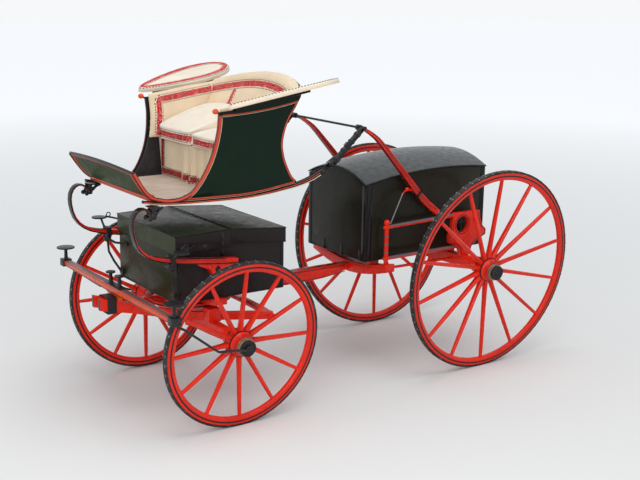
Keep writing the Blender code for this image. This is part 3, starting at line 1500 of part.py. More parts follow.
# The origin goes to the middle of the whole, on the ground
bpy.context.view_layer.update()
corners = []
for node in phaeton.objects:
    if node.type == "MESH":
        corners += [node.matrix_world @ vert.co for vert in node.data.vertices]
middle = Vector(((min(c.x for c in corners) + max(c.x for c in corners)) / 2, 0, min(c.z for c in corners)))
for node in phaeton.objects:
    if not node.parent:
        node.location -= middle
print("moved back by", [round(value, 5) for value in middle])
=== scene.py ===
"""The looks of a high flyer phaeton: paint, lining-out, ironwork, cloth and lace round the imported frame."""

from math import cos, hypot, pi, radians, sin

import bmesh
import bpy
from mathutils import Matrix, Vector, noise


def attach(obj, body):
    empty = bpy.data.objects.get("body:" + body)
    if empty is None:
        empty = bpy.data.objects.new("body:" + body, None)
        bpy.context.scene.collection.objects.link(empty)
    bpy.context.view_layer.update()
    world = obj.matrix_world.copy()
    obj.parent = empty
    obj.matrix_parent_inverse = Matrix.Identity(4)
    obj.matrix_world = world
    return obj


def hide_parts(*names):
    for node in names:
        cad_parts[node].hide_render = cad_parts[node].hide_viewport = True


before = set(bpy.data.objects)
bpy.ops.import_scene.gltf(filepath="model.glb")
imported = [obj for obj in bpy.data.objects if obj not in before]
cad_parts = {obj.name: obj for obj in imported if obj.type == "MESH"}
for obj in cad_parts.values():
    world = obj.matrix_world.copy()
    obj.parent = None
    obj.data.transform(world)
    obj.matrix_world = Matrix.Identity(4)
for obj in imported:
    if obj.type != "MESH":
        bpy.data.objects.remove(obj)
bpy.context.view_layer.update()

# The camera, as fitted to the four wheels and the body
EYE = Vector((4.297, 6.125, 2.667))
YAW, PITCH, ROLL = radians(-124.97), radians(-13.19), radians(0.918)
forward = Vector((cos(PITCH) * cos(YAW), cos(PITCH) * sin(YAW), sin(PITCH)))
right = forward.cross(Vector((0, 0, 1))).normalized()
upward = right.cross(forward)
across = right * cos(ROLL) + upward * sin(ROLL)
above = upward * cos(ROLL) - right * sin(ROLL)
turn = Matrix((across, above, -forward)).transposed().to_4x4()
camera = bpy.data.objects.new("camera", bpy.data.cameras.new("camera"))
camera.matrix_world = Matrix.Translation(EYE) @ turn
camera.data.lens = 61.9
camera.data.sensor_width = 36.0
camera.data.clip_end = 200.0
SCENE = bpy.context.scene
SCENE.collection.objects.link(camera)
SCENE.camera = camera
SCENE.view_settings.view_transform = "Standard"


# Materials

WEAVE_PITCH = 0.0022
LACE_DASH = 0.019  # from one dash of its outline to the next


class Paint:
    """A material's node tree, built one node at a time."""

    def __init__(self, name):
        self.made = bpy.data.materials.new(name)
        self.made.use_nodes = True
        self.tree = self.made.node_tree
        self.shader = self.tree.nodes["Principled BSDF"]
        self.places = self.node("ShaderNodeTexCoord").outputs["Object"]

    def node(self, kind, **inputs):
        made = self.tree.nodes.new(kind)
        for key, value in inputs.items():
            if key.startswith("set_"):
                setattr(made, key[4:], value)
            else:
                self.feed(made.inputs[int(key[1:]) if key[0] == "_" else key], value)
        return made

    def feed(self, socket, value):
        if isinstance(value, bpy.types.NodeSocket):
            self.tree.links.new(value, socket)
        else:
            socket.default_value = value

    def maths(self, operation, first, second=0.0):
        return self.node("ShaderNodeMath", set_operation=operation, _0=first, _1=second).outputs[0]

    def noise(self, scale, detail=3.0, rough=0.55, stretch=None):
        places = self.places
        if stretch:
            places = self.node("ShaderNodeMapping", Vector=places, Scale=stretch).outputs[0]
        made = self.node("ShaderNodeTexNoise", Vector=places, Scale=scale, Detail=detail, Roughness=rough)
        return made.outputs["Fac"]

    def cells(self, scale, places=None, **settings):
        """A pattern of cells."""
        places = places or self.places
        return self.node("ShaderNodeTexVoronoi", Vector=places, Scale=scale, **settings).outputs["Distance"]

    def ramp(self, value, low, high, start=0.0, end=1.0):
        """Goes from start to end as value goes from low to high."""
        made = self.node("ShaderNodeMapRange", Value=value)
        made.inputs["From Min"].default_value = low
        made.inputs["From Max"].default_value = high
        made.inputs["To Min"].default_value = start
        made.inputs["To Max"].default_value = end
        return made.outputs[0]

    def mix(self, factor, first, second):
        made = self.node("ShaderNodeMix", set_data_type="RGBA")
        self.feed(made.inputs[0], factor)
        self.feed(made.inputs[6], first if isinstance(first, bpy.types.NodeSocket) else (*first, 1.0))
        self.feed(made.inputs[7], second if isinstance(second, bpy.types.NodeSocket) else (*second, 1.0))
        return made.outputs[2]

    def bump(self, height, strength, distance):
        made = self.node("ShaderNodeBump", Height=height, Strength=strength, Distance=distance)
        self.feed(self.shader.inputs["Normal"], made.outputs[0])

    def put(self, **inputs):
        for key, value in inputs.items():
            socket = self.shader.inputs[key.replace("_", " ")]
            if isinstance(value, tuple) and len(value) == 3:
                value = (*value, 1.0)
            self.feed(socket, value)
        return self.made


def linear(red, green, blue):
    """A colour written as it shows on a screen, 0 to 255."""
    found = []
    for value in (red, green, blue):
        value /= 255
        found.append(value / 12.92 if value <= 0.04045 else ((value + 0.055) / 1.055) ** 2.4)
    return tuple(found)


def shade(colour, factor):
    return tuple(min(1.0, value * factor) for value in colour)


def coach_paint(name, colour, rough, dust, dust_colour, shine):
    """Brushed and varnished coach paint: slightly uneven in tone, faintly brush-marked, dustier in places."""
    paint = Paint(name)
    cloud = paint.noise(5.0, 4.0, 0.6)
    fine = paint.noise(70.0, 3.0, 0.6)
    tone = paint.mix(paint.ramp(cloud, 0.3, 0.7), shade(colour, 0.86), shade(colour, 1.12))
    dirt = paint.maths("MULTIPLY", paint.ramp(fine, 0.45, 0.8), dust)
    tone = paint.mix(dirt, tone, dust_colour)
    gloss = paint.ramp(paint.noise(22.0, 5.0, 0.7), 0.3, 0.75, rough * 0.75, rough * 1.5)
    brush = paint.noise(55.0, 2.0, 0.5, (1.0, 1.0, 6.0))
    height = paint.maths("ADD", paint.maths("MULTIPLY", brush, 0.6), paint.maths("MULTIPLY", fine, 0.4))
    paint.bump(height, 0.06, 0.0010)
    paint.put(Coat_Weight=shine * 0.6, Coat_Roughness=0.10, Specular_IOR_Level=shine)
    return paint.put(Base_Color=tone, Roughness=gloss)


def enamel(name, colour, rough, worn, wear=0.25, metal=0.0):
    """Black or coloured ironwork: hammered a little under its enamel, and rubbed at random."""
    paint = Paint(name)
    cloud = paint.noise(14.0, 5.0, 0.65)
    fine = paint.noise(160.0, 3.0, 0.6)
    rubbed = paint.maths("MULTIPLY", paint.ramp(cloud, 0.56, 0.75), wear)
    tone = paint.mix(rubbed, colour, worn)
    gloss = paint.ramp(fine, 0.3, 0.7, rough * 0.8, rough * 1.35)
    paint.bump(paint.maths("ADD", cloud, paint.maths("MULTIPLY", fine, 0.5)), 0.22, 0.0012)
    return paint.put(Base_Color=tone, Roughness=gloss, Metallic=metal, Specular_IOR_Level=0.26)


def woven(name, colour):
    """Box cloth: a close weave under a short nap."""
    paint = Paint(name)
    size = 2 * pi / WEAVE_PITCH
    parts = paint.node("ShaderNodeSeparateXYZ", Vector=paint.places).outputs
    first = paint.maths("SINE", paint.maths("MULTIPLY", paint.maths("ADD", parts[0], parts[2]), size))
    second = paint.maths("SINE", paint.maths("MULTIPLY", paint.maths("SUBTRACT", parts[1], parts[2]), size))
    weave = paint.maths("MULTIPLY", first, second)
    nap = paint.noise(420.0, 3.0, 0.7)
    cloud = paint.noise(7.0, 4.0, 0.6)
    tone = paint.mix(paint.ramp(cloud, 0.3, 0.72), shade(colour, 0.90), shade(colour, 1.05))
    tone = paint.mix(paint.ramp(nap, 0.35, 0.75, 0.0, 0.16), tone, shade(colour, 0.70))
    paint.bump(paint.maths("ADD", paint.maths("MULTIPLY", weave, 0.35), nap), 0.30, 0.0007)
    paint.put(Sheen_Weight=0.25, Sheen_Roughness=0.5, Specular_IOR_Level=0.2)
    return paint.put(Base_Color=tone, Roughness=0.92)


def hide(name, colour, rough, crease=0.35, coat=0.0):
    """Leather: pebbled grain with finer wrinkles."""
    paint = Paint(name)
    cells = paint.cells(380.0, set_feature="DISTANCE_TO_EDGE")
    wrinkle = paint.noise(26.0, 6.0, 0.7)
    height = paint.maths("ADD", paint.maths("MINIMUM", cells, 0.25), wrinkle)
    tone = paint.mix(paint.ramp(wrinkle, 0.35, 0.7), shade(colour, 0.7), shade(colour, 1.5))
    paint.bump(height, crease, 0.0014)
    gloss = paint.ramp(wrinkle, 0.3, 0.7, rough * 1.25, rough * 0.8)
    paint.put(Specular_IOR_Level=0.26, Coat_Weight=coat, Coat_Roughness=0.2)
    return paint.put(Base_Color=tone, Roughness=gloss)


def lace_cloth(name):
    """Broad lace: a red figured ground between speckled pale edges and dashed black outlines.
    Its UVs run in metres along the strip, and from 0 to 1 across it."""
    paint = Paint(name)
    parts = paint.node("ShaderNodeSeparateXYZ", Vector=paint.node("ShaderNodeUVMap").outputs[0]).outputs
    off = paint.maths("ABSOLUTE", paint.maths("SUBTRACT", parts[1], 0.5))
    squeezed = paint.maths("MULTIPLY", parts[1], 0.05)
    flat = paint.node("ShaderNodeCombineXYZ", X=parts[0], Y=squeezed).outputs[0]
    petals = paint.cells(46.0, flat, Randomness=0.6)
    leaves = paint.cells(84.0, flat, Randomness=0.9, set_feature="DISTANCE_TO_EDGE")
    ground = paint.mix(paint.ramp(petals, 0.20, 0.55), linear(232, 8, 30), linear(172, 2, 18))
    veins = paint.maths("LESS_THAN", leaves, 0.050)
    ground = paint.mix(paint.maths("MULTIPLY", veins, 0.55), ground, linear(250, 200, 190))
    # Pale leaves stand between the petals along both edges
    rim = paint.maths("GREATER_THAN", off, 0.30)
    between = paint.maths("GREATER_THAN", petals, 0.58)
    ground = paint.mix(paint.maths("MULTIPLY", rim, between), ground, linear(246, 226, 212))
    edge = paint.maths("GREATER_THAN", off, 0.350)
    ground = paint.mix(edge, ground, linear(244, 226, 206))
    wave = paint.maths("SINE", paint.maths("MULTIPLY", parts[0], 2 * pi / LACE_DASH))
    outermost = paint.maths("GREATER_THAN", off, 0.405)
    dashes = paint.maths("MULTIPLY", outermost, paint.maths("GREATER_THAN", wave, -0.30))
    tone = paint.mix(dashes, ground, (0.010, 0.008, 0.010))
    pile = paint.noise(620.0, 2.0, 0.6)
    paint.bump(paint.maths("ADD", leaves, paint.maths("MULTIPLY", pile, 0.6)), 0.5, 0.0010)
    return paint.put(Base_Color=tone, Roughness=0.88, Specular_IOR_Level=0.05)


def tyre_rubber():
    paint = Paint("tyre_rubber")
    scuff = paint.noise(30.0, 6.0, 0.75)
    grit = paint.noise(240.0, 3.0, 0.7)
    tone = paint.mix(paint.ramp(scuff, 0.48, 0.72), (0.012, 0.012, 0.013), (0.085, 0.083, 0.078))
    tone = paint.mix(paint.ramp(grit, 0.62, 0.78), tone, (0.20, 0.19, 0.17))
    paint.bump(paint.maths("ADD", scuff, grit), 0.45, 0.0012)
    gloss = paint.ramp(scuff, 0.3, 0.7, 0.75, 0.5)
    return paint.put(Base_Color=tone, Roughness=gloss, Specular_IOR_Level=0.35)


def old_brass():
    """Turned nave hoops, dulled, with turning marks."""
    paint = Paint("old_brass")
    stain = paint.noise(48.0, 5.0, 0.7)
    marks = paint.noise(300.0, 2.0, 0.5)
    tone = paint.mix(paint.ramp(stain, 0.35, 0.65), linear(112, 98, 84), linear(168, 150, 128))
    paint.bump(paint.maths("ADD", stain, marks), 0.35, 0.0008)
    return paint.put(Base_Color=tone, Metallic=0.55, Roughness=paint.ramp(stain, 0.3, 0.7, 0.55, 0.35))


def carpet():
    paint = Paint("carpet")
    tuft = paint.cells(420.0)
    cloud = paint.noise(9.0, 4.0, 0.6)
    tone = paint.mix(paint.ramp(cloud, 0.3, 0.7), linear(188, 164, 146), linear(214, 192, 172))
    tone = paint.mix(paint.ramp(tuft, 0.2, 0.9, 0.0, 0.35), tone, linear(150, 128, 112))
    paint.bump(tuft, 0.8, 0.0022)
    return paint.put(Base_Color=tone, Roughness=0.97, Sheen_Weight=0.3, Specular_IOR_Level=0.1)


M = {
    "red": coach_paint("vermilion", linear(228, 40, 18), 0.26, 0.05, linear(150, 30, 20), 0.22),
    "orange": coach_paint("orange_red", linear(232, 84, 30), 0.26, 0.05, linear(160, 60, 30), 0.22),
    "moulding": coach_paint("moulding_red", linear(214, 72, 46), 0.30, 0.04, linear(235, 150, 120), 0.24),
    "black": coach_paint("black_varnish", linear(20, 20, 22), 0.16, 0.04, linear(56, 56, 56), 0.16),
    "line": enamel("black_line", (0.014, 0.012, 0.014), 0.30, (0.03, 0.03, 0.03)),
    "mauve": enamel("mauve_line", linear(104, 90, 98), 0.34, linear(110, 96, 100)),
    "cream_line": enamel("cream_line", linear(236, 220, 194), 0.36, linear(200, 176, 150)),
    "iron": enamel("black_iron", (0.016, 0.016, 0.018), 0.34, (0.09, 0.085, 0.08), 0.3),
    "tyre": tyre_rubber(),
    "hub": old_brass(),
    "olive": coach_paint("box_paint", linear(42, 45, 25), 0.34, 0.14, linear(70, 70, 52), 0.12),
    "box_side": coach_paint("box_side", linear(34, 26, 26), 0.30, 0.14, linear(66, 56, 56), 0.12),
    "lid": coach_paint("lid_paint", linear(52, 58, 36), 0.42, 0.20, linear(92, 96, 82), 0.16),
    "trunk": coach_paint("trunk_paint", linear(30, 28, 20), 0.34, 0.12, linear(58, 54, 40), 0.12),
    # The trunk lid's grey is partly the leather's own colour and partly a painted sheen: the sky's grey sheen
    # on the vaulted top is put into its base colour, besides the real coat
    "trunk_lid": hide("trunk_lid_leather", linear(58, 62, 64), 0.40, 0.12, 0.25),
    "green": coach_paint("body_green", linear(10, 34, 22), 0.14, 0.03, linear(30, 46, 34), 0.10),
    "dash": coach_paint("dash_green", linear(48, 60, 27), 0.34, 0.05, linear(58, 72, 40), 0.03),
    "cloth": woven("cream_cloth", linear(236, 214, 182)),
    "pad": woven("pale_cloth", linear(240, 228, 210)),
    "shade_cloth": woven("fall_cloth", linear(234, 214, 184)),
    "lace": lace_cloth("broad_lace"),
    "carpet": carpet(),
    "leather": hide("harness_leather", (0.020, 0.019, 0.020), 0.44),
    "kick": hide("kick_leather", (0.022, 0.022, 0.026), 0.34, 0.22, 0.2),
    "bolt": enamel("bright_bolt", linear(138, 136, 130), 0.34, linear(90, 88, 84), 0.3, 0.5),
    "steel": enamel("steel", linear(150, 150, 150), 0.32, linear(100, 96, 92), 0.3, 0.8),
}


# Building pieces


def finish(name, mesh, material, body, angle):
    """Makes a mesh into a piece that rides on a body and takes the given finish."""
    made = bpy.data.objects.new(name, mesh)
    SCENE.collection.objects.link(made)
    mesh.materials.append(M[material])
    for polygon in mesh.polygons:
        polygon.use_smooth = True
    mesh.set_sharp_from_angle(angle=radians(angle))
    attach(made, body)
    return made


def from_bm(name, bm, material, body, angle, facing=True):
    if facing:
        bmesh.ops.recalc_face_normals(bm, faces=bm.faces)
    mesh = bpy.data.meshes.new(name)
    bm.to_mesh(mesh)
    bm.free()
    return finish(name, mesh, material, body, angle)


def spaced(low, high, count):
    """Evenly spaced values from low to high, with count steps."""
    return [low + (high - low) * step / count for step in range(count + 1)]


def turns(count, start=0.0):
    """The cosine and sine of count directions round a circle."""
    return [(cos(start + 2 * pi * step / count), sin(start + 2 * pi * step / count)) for step in range(count)]


def round_faces(bm, low, high):
    """Joins two closed rings of vertices."""
    for index in range(len(low)):
        after = (index + 1) % len(low)
        bm.faces.new((low[index], low[after], high[after], high[index]))


def loft(bm, rings, caps=True):
    """Joins closed rings of points, each of the same length."""
    made = [[bm.verts.new(point) for point in ring] for ring in rings]
    for low, high in zip(made, made[1:]):
        round_faces(bm, low, high)
    if caps:
        bm.faces.new(made[0][::-1])
        bm.faces.new(made[-1])
    return made


def grid_faces(bm, rows):
    for low, high in zip(rows, rows[1:]):
        for index in range(len(low) - 1):
            bm.faces.new((low[index], low[index + 1], high[index + 1], high[index]))


def slab(bm, top, low):
    """Joins two grids of points, one over the other, and closes them round their edges."""
    grids = [[[bm.verts.new(point) for point in row] for row in rows] for rows in (top, low)]
    for rows in grids:
        grid_faces(bm, rows)
    for end in (0, -1):
        grid_faces(bm, [rows[end] for rows in grids])
        grid_faces(bm, [[row[end] for row in rows] for rows in grids])
    return grids


def bevel_sharp(bm, width, segments):
    """Rounds the edges where faces meet at more than 50 degrees."""
    bmesh.ops.recalc_face_normals(bm, faces=bm.faces)
    joined = [edge for edge in bm.edges if len(edge.link_faces) == 2]
    sharp = [edge for edge in joined if edge.calc_face_angle(0.0) > radians(50)]
    bmesh.ops.bevel(bm, geom=sharp, offset=width, segments=segments, profile=0.5, affect="EDGES")


def ways(points):
    """At each point of a route, the direction along it."""
    befores = points[:1] + points[:-1]
    afters = points[1:] + points[-1:]
    return [(after - before).normalized() for before, after in zip(befores, afters)]


STRIP_PROFILE = [(-0.5, -1.0), (-0.5, 0.6), (-0.32, 1.0), (0.0, 1.0), (0.32, 1.0), (0.5, 0.6), (0.5, -1.0)]


def strip(name, routes, width, thick, material, body="gear", bend=0.0, sink=0.0005):
    """Bands along several routes as one piece: flat, or arched by bend like a half-round moulding.
    They sink a little into what they lie on. Each route is its points, and the way that the band
    faces: one vector, or a list with one for each point."""
    bm = bmesh.new()
    for points, facing in routes:
        points = [Vector(point) for point in points]
        facings = facing if isinstance(facing, list) else [Vector(facing)] * len(points)
        rings = []
        for point, way, face in zip(points, ways(points), facings):
            side = face.normalized().cross(way).normalized()
            up = side.cross(way) * -1
            ring = []
            for out, high in STRIP_PROFILE:
                tall = -sink if high < 0 else thick * high + bend * (1 - (2 * out) ** 2)
                ring.append(point + side * out * width + up * tall)
            rings.append(ring)
        loft(bm, rings)
    return from_bm(name, bm, material, body, 60.0)


def smooth_line(points, count):
    """Points along a smooth curve through the given ones, count to each stretch."""
    found = []
    last = len(points) - 1
    for index in range(last):
        before, start = Vector(points[max(index - 1, 0)]), Vector(points[index])
        end, after = Vector(points[index + 1]), Vector(points[min(index + 2, last)])
        for step in range(count):
            t = step / count
            first = 2 * start + (end - before) * t
            second = (2 * before - 5 * start + 4 * end - after) * t**2
            third = (3 * start - before - 3 * end + after) * t**3
            found.append(0.5 * (first + second + third))
    found.append(Vector(points[last]))
    return found


def add_tube(bm, points, radius, sides=12, caps=True):
    """A round bar along points. radius is a number, or a function of 0 to 1 along it."""
    rings = []
    up = Vector((0, 0, 1))
    for index, (point, way) in enumerate(zip(points, ways(points))):
        side = way.cross(up)
        if side.length < 0.05:
            side = way.cross(Vector((1, 0, 0)))
        side.normalize()
        up = side.cross(way).normalized()
        size = radius(index / (len(points) - 1)) if callable(radius) else radius
        rings.append([point + (side * out + up * high) * size for out, high in turns(sides)])
    loft(bm, rings, caps)


def add_turned(bm, profile, matrix, sides=32, hollow=False):
    """A turned shape about Z, from (radius, height) points, put in place by matrix.
    A hollow profile is a ring's section."""
    rings = []
    for radius, height in profile:
        rings.append([matrix @ Vector((radius * out, radius * up, height)) for out, up in turns(sides)])
    made = loft(bm, rings, not hollow)
    if hollow:
        round_faces(bm, made[-1], made[0])


def add_box(bm, low, high, bevel=0.002, segments=2, matrix=None):
    """A box with rounded edges."""
    low, high = Vector(low), Vector(high)
    made = bmesh.ops.create_cube(bm, size=1.0)["verts"]
    for vert in made:
        vert.co = (low + high) / 2 + Vector([vert.co[axis] * (high - low)[axis] for axis in range(3)])
        if matrix:
            vert.co = matrix @ vert.co
    edges = {edge for vert in made for edge in vert.link_edges}
    bmesh.ops.bevel(bm, geom=list(edges), offset=bevel, segments=segments, profile=0.5, affect="EDGES")


def add_ball(bm, centre, radius, squash=(1, 1, 1), sides=20):
    matrix = Matrix.Translation(centre) @ Matrix.Diagonal((*(radius * value for value in squash), 1.0))
    bmesh.ops.create_uvsphere(bm, u_segments=sides, v_segments=sides // 2 + 2, radius=1.0, matrix=matrix)


def aimed(place, way):
    """A matrix that puts Z along way at a place."""
    turned_to = Vector(way).normalized().to_track_quat("Z", "Y").to_matrix().to_4x4()
    return Matrix.Translation(Vector(place)) @ turned_to


def block_grid(cuts, place):
    """A cube from -1 to 1, cut into a grid, whose every point goes to place(u, v, w)."""
    bm = bmesh.new()
    bmesh.ops.create_cube(bm, size=2.0)
    for axis, count in enumerate(cuts):
        along = [edge for edge in bm.edges if abs(edge.verts[0].co[axis] - edge.verts[1].co[axis]) > 1e-6]
        if count:
            bmesh.ops.subdivide_edges(bm, edges=along, cuts=count, use_grid_fill=True)
    for vert in bm.verts:
        vert.co = Vector(place(*vert.co))
    return bm


def side_box(bm, ends, wall, thick, heights, bevel):
    """A plate on a side wall, between two x and two z. thick has the wall's sign."""
    near, far = sorted((wall, wall + thick))
    add_box(bm, (ends[0], near, heights[0]), (ends[1], far, heights[1]), bevel)


def at_y(points, y):
    """Points given as (x, z), set upright at y."""
    return [Vector((point[0], y, point[1])) for point in points]


def recoloured(piece, *rules):
    """Gives the piece's faces that pass a rule that rule's material. Each rule is (material, test)."""
    for at, (material, test) in enumerate(rules, 1):
        piece.data.materials.append(M[material])
        for polygon in piece.data.polygons:
            if not polygon.material_index and test(polygon):
                polygon.material_index = at
    return piece


def both(make):
    """Runs make for the left side and the right."""
    for side, at in ((1, "left"), (-1, "right")):
        make(side, at)


def dress(material, *nodes):
    """Gives CAD nodes their finish."""
    for node in nodes:
        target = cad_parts[node]
        target.data.materials.clear()
        target.data.materials.append(M[material])


# Wheels

CAMBER = radians(5.5)
TRACK_HALF = 0.6925
DISH = 0.048
TYRE_DEEP, TYRE_HALF = 0.014, 0.018
FELLOE_DEEP = 0.052
RIM_STEPS = 112
SPOKE_START = 0.050
# Turned profiles, as (radius, height along the axle)
NAVE = [(0.0266, -0.149), (0.055, -0.149), (0.059, -0.146), (0.062, -0.128), (0.0765, -0.090)]
NAVE += [(0.0825, -0.078), (0.0842, -0.066), (0.0842, -0.030), (0.0825, -0.021), (0.0790, -0.012)]
NAVE += [(0.0765, -0.008), (0.0745, -0.006), (0.0725, 0.004), (0.0685, 0.0145), (0.0660, 0.0195)]
NAVE += [(0.0266, 0.0195)]
HOOP = [(0.034, 0.0223), (0.0570, 0.0223), (0.0570, 0.0263), (0.0556, 0.0278), (0.0556, 0.0433)]
HOOP += [(0.0566, 0.0448), (0.0566, 0.0488), (0.0550, 0.0501), (0.047, 0.0501), (0.047, 0.0343)]
HOOP += [(0.034, 0.0343)]
CAP_TOP = 0.0700
CAP = [(0.0468, 0.0350), (0.0508, 0.0505), (0.0508, 0.0670), (0.0490, 0.0694), (0.0455, 0.0694)]
CAP += [(0.0440, 0.0660), (0.0330, 0.0660), (0.0310, 0.0675), (0.0270, 0.0675), (0.0250, 0.0660)]
CAP += [(0.0140, 0.0660), (0.0120, 0.0690), (0.0040, 0.0695)]


def add_spoke(bm, place, way, reach):
    """A spoke, broad at the nave and squared a little, that leans back to the nave by the wheel's dish."""
    out = Vector((cos(way), sin(way), 0))
    along = Vector((-sin(way), cos(way), 0))
    rings = []
    for t in spaced(0, 1, 14):
        reached = SPOKE_START + (reach - SPOKE_START) * t
        foot = min(1.0, max(0.0, 1 - (reached - 0.084) / 0.10)) ** 2
        neck = 1 - min(1.0, max(0.0, (reach - reached) / 0.05))
        wide = 0.0118 + 0.0032 * (1 - t) + 0.0035 * foot - 0.0016 * neck
        deep = 0.0135 + 0.0065 * (1 - t) + 0.0045 * foot - 0.0016 * neck
        ring = []
        for across_at, height_at in turns(12):
            square = 1.0 / max(abs(across_at), abs(height_at)) ** 0.35
            up = Vector((0, 0, -DISH * (1 - t) + height_at * deep * square))
            ring.append(place @ (out * reached + along * across_at * wide * square + up))
        rings.append(ring)
    loft(bm, rings)


def wheel(end, side, at, x, height, radius, spokes):
    name = f"{end}_{at}"
    body = name + "_wheel_set"
    lean = Matrix.Rotation(-side * (pi / 2 + CAMBER), 4, "X")
    place = Matrix.Translation((x, side * TRACK_HALF, height)) @ lean
    rim = radius - TYRE_DEEP
    well = rim - FELLOE_DEEP

    bm = bmesh.new()
    section = [(rim - 0.0005, -0.0165), (rim - 0.0005, 0.0165), (rim - 0.004, 0.0198)]
    section += [(well + 0.016, 0.0200), (well + 0.007, 0.0165), (well + 0.002, 0.0105), (well, 0.004)]
    section += [(radius_at, -height_at) for radius_at, height_at in section[:1:-1]]
    add_turned(bm, section, place, RIM_STEPS, hollow=True)
    add_turned(bm, NAVE, place, 48, hollow=True)
    for step in range(spokes):
        add_spoke(bm, place, pi / 2 + 2 * pi * step / spokes, well + 0.010)
    piece = from_bm(f"{name}_wheel_wood", bm, "red", body, 38)
    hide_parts(f"{name}_wheel")

    # Lining-out: a black line on each face of the felloe, and rings on the nave
    bm = bmesh.new()
    middle, half = rim - 0.021, 0.0048
    for face in (1, -1):
        low, high = face * 0.0196, face * 0.0206
        line = [(middle - half, low), (middle - half, high), (middle + half, high), (middle + half, low)]
        add_turned(bm, line, place, RIM_STEPS, hollow=True)
    for low, high, size in ((-0.026, -0.0185, 0.0846), (-0.076, -0.070, 0.0846), (0.0120, 0.0150, 0.0700)):
        line = [(size - 0.004, low), (size, low), (size, high), (size - 0.004, high)]
        add_turned(bm, line, place, 48, hollow=True)
    for low, size in ((-0.0175, 0.0823), (-0.0808, 0.0822)):
        line = [(size - 0.004, low - 0.002), (size + 0.0008, low - 0.001)]
        line += [(size, low + 0.002), (size - 0.004, low + 0.002)]
        add_turned(bm, line, place, 48, hollow=True)
    from_bm(f"{name}_lining", bm, "line", body, 50)

    bm = bmesh.new()
    section = [(rim + 0.0004, -TYRE_HALF), (radius - 0.004, -TYRE_HALF)]
    section += [(radius - 0.0014, 0.0014 - TYRE_HALF), (radius - 0.0002, 0.005 - TYRE_HALF)]
    section += [(radius_at, -height_at) for radius_at, height_at in section[::-1]]
    add_turned(bm, section, place, RIM_STEPS, hollow=True)
    tyre = from_bm(f"{name}_iron_tyre", bm, "tyre", body, 40)
    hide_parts(f"{name}_tyre")
    # Bright wire clips that show along both shoulders of the tread
    bm = bmesh.new()
    clips = round(2 * pi * radius / 0.062)
    for out, up in turns(clips, pi / clips):
        for level in (-0.0125, 0.0125):
            centre = place @ Vector(((radius - 0.0012) * out, (radius - 0.0012) * up, level))
            outward = (place.to_3x3() @ Vector((out, up, 0))).normalized()
            clip = [(0.0062, 0.0), (0.0058, 0.0010), (0.0036, 0.0014), (0.001, 0.0015)]
            add_turned(bm, clip, aimed(centre, outward), 8)
    from_bm(f"{name}_tyre_clips", bm, "bolt", body, 40)

    # The nave's hoop, and the black cap in it with a plain turned rosette
    bm = bmesh.new()
    add_turned(bm, HOOP, place, 48, hollow=True)
    ring = from_bm(f"{name}_hub_hoop", bm, "hub", body, 30)
    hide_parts(f"{name}_hub_cap")
    bm = bmesh.new()
    add_turned(bm, CAP, place, 40)
    for reach, start, drop, size in ((0.0200, 0.0, 0.0032, 0.0042), (0.0385, 0.39, 0.0034, 0.0028)):
        for out, up in turns(8, start):
            add_ball(bm, place @ Vector((reach * out, reach * up, CAP_TOP - drop)), size, sides=8)
    if end == "front":
        screw = [(0.0150, -0.004), (0.0158, -0.001), (0.0158, 0.0135), (0.0140, 0.0139)]
        add_turned(bm, [(size, CAP_TOP + high) for size, high in screw], place, 24)
    from_bm(f"{name}_hub_centre", bm, "iron", body, 35)


FRONT_AXLE, REAR_AXLE = 1.050, -0.970
FRONT_HUB_Z, REAR_HUB_Z = 0.52926, 0.71641
for wheel_sizes in (("rear", REAR_AXLE, REAR_HUB_Z, 0.72, 14), ("front", FRONT_AXLE, FRONT_HUB_Z, 0.532, 12)):
    both(lambda side, at: wheel(wheel_sizes[0], side, at, *wheel_sizes[1:]))


# Lines that the body and the springs follow, as (x from the front axle, z)

SILL_LINE = [(0.510, 1.401), (0.430, 1.386), (0.365, 1.377), (0.240, 1.370), (0.064, 1.366)]
SILL_LINE += [(-0.155, 1.364), (-0.327, 1.374), (-0.435, 1.386), (-0.550, 1.402), (-0.664, 1.430)]
SILL_LINE += [(-0.770, 1.475), (-0.825, 1.500)]
BACK_EDGE = [(-0.573, 1.380), (-0.565, 1.430), (-0.518, 1.477), (-0.475, 1.546), (-0.444, 1.613)]
BACK_EDGE += [(-0.425, 1.690), (-0.431, 1.773), (-0.454, 1.847), (-0.492, 1.920), (-0.522, 1.985)]
BACK_EDGE += [(-0.558, 2.060), (-0.590, 2.120)]
TOP_EDGE = [(-0.522, 2.000), (-0.372, 1.976), (-0.265, 1.958), (-0.161, 1.940), (-0.059, 1.921)]
FRONT_EDGE = [(0.046, 1.914), (0.043, 1.828), (0.050, 1.752), (0.061, 1.689), (0.081, 1.617), (0.111, 1.548)]
FRONT_EDGE += [(0.152, 1.480), (0.194, 1.434), (0.254, 1.403), (0.290, 1.380)]
DASH_LINE = [(0.402, 1.4120), (0.464, 1.4345), (0.525, 1.497), (0.584, 1.588)]
ARM_LINE = [(-0.505, 1.957), (-0.372, 1.931), (-0.235, 1.911), (-0.091, 1.899), (0.024, 1.893)]
SILL_Y, SILL_HALF, SILL_EASE = 0.412, 0.017, 0.0032
SIDE_THICK, SIDE_FLARE = 0.018, 0.175
FLOOR_TOP, SEAT_TOP = 1.404, 1.6535


def in_frame(points, count=1):
    """Points from the front axle, smoothed, in the frame's own X, as (x, z)."""
    return [Vector((FRONT_AXLE + point.x, point.y)) for point in smooth_line(points, count)]


def leftward(points, distance):
    """A line beside a line of (x, z) points. distance is a number, or a function of 0 to 1 along it."""
    found = []
    for index, (point, way) in enumerate(zip(points, ways(points))):
        off = distance(index / (len(points) - 1)) if callable(distance) else distance
        found.append(point + Vector((-way.y, way.x)) * off)
    return found


def outer_y(z):
    return 0.412 + SIDE_FLARE * (z - 1.42)


def on_side(points, side, out=0.0):
    return [Vector((point.x, side * (outer_y(point.y) + out), point.y)) for point in points]


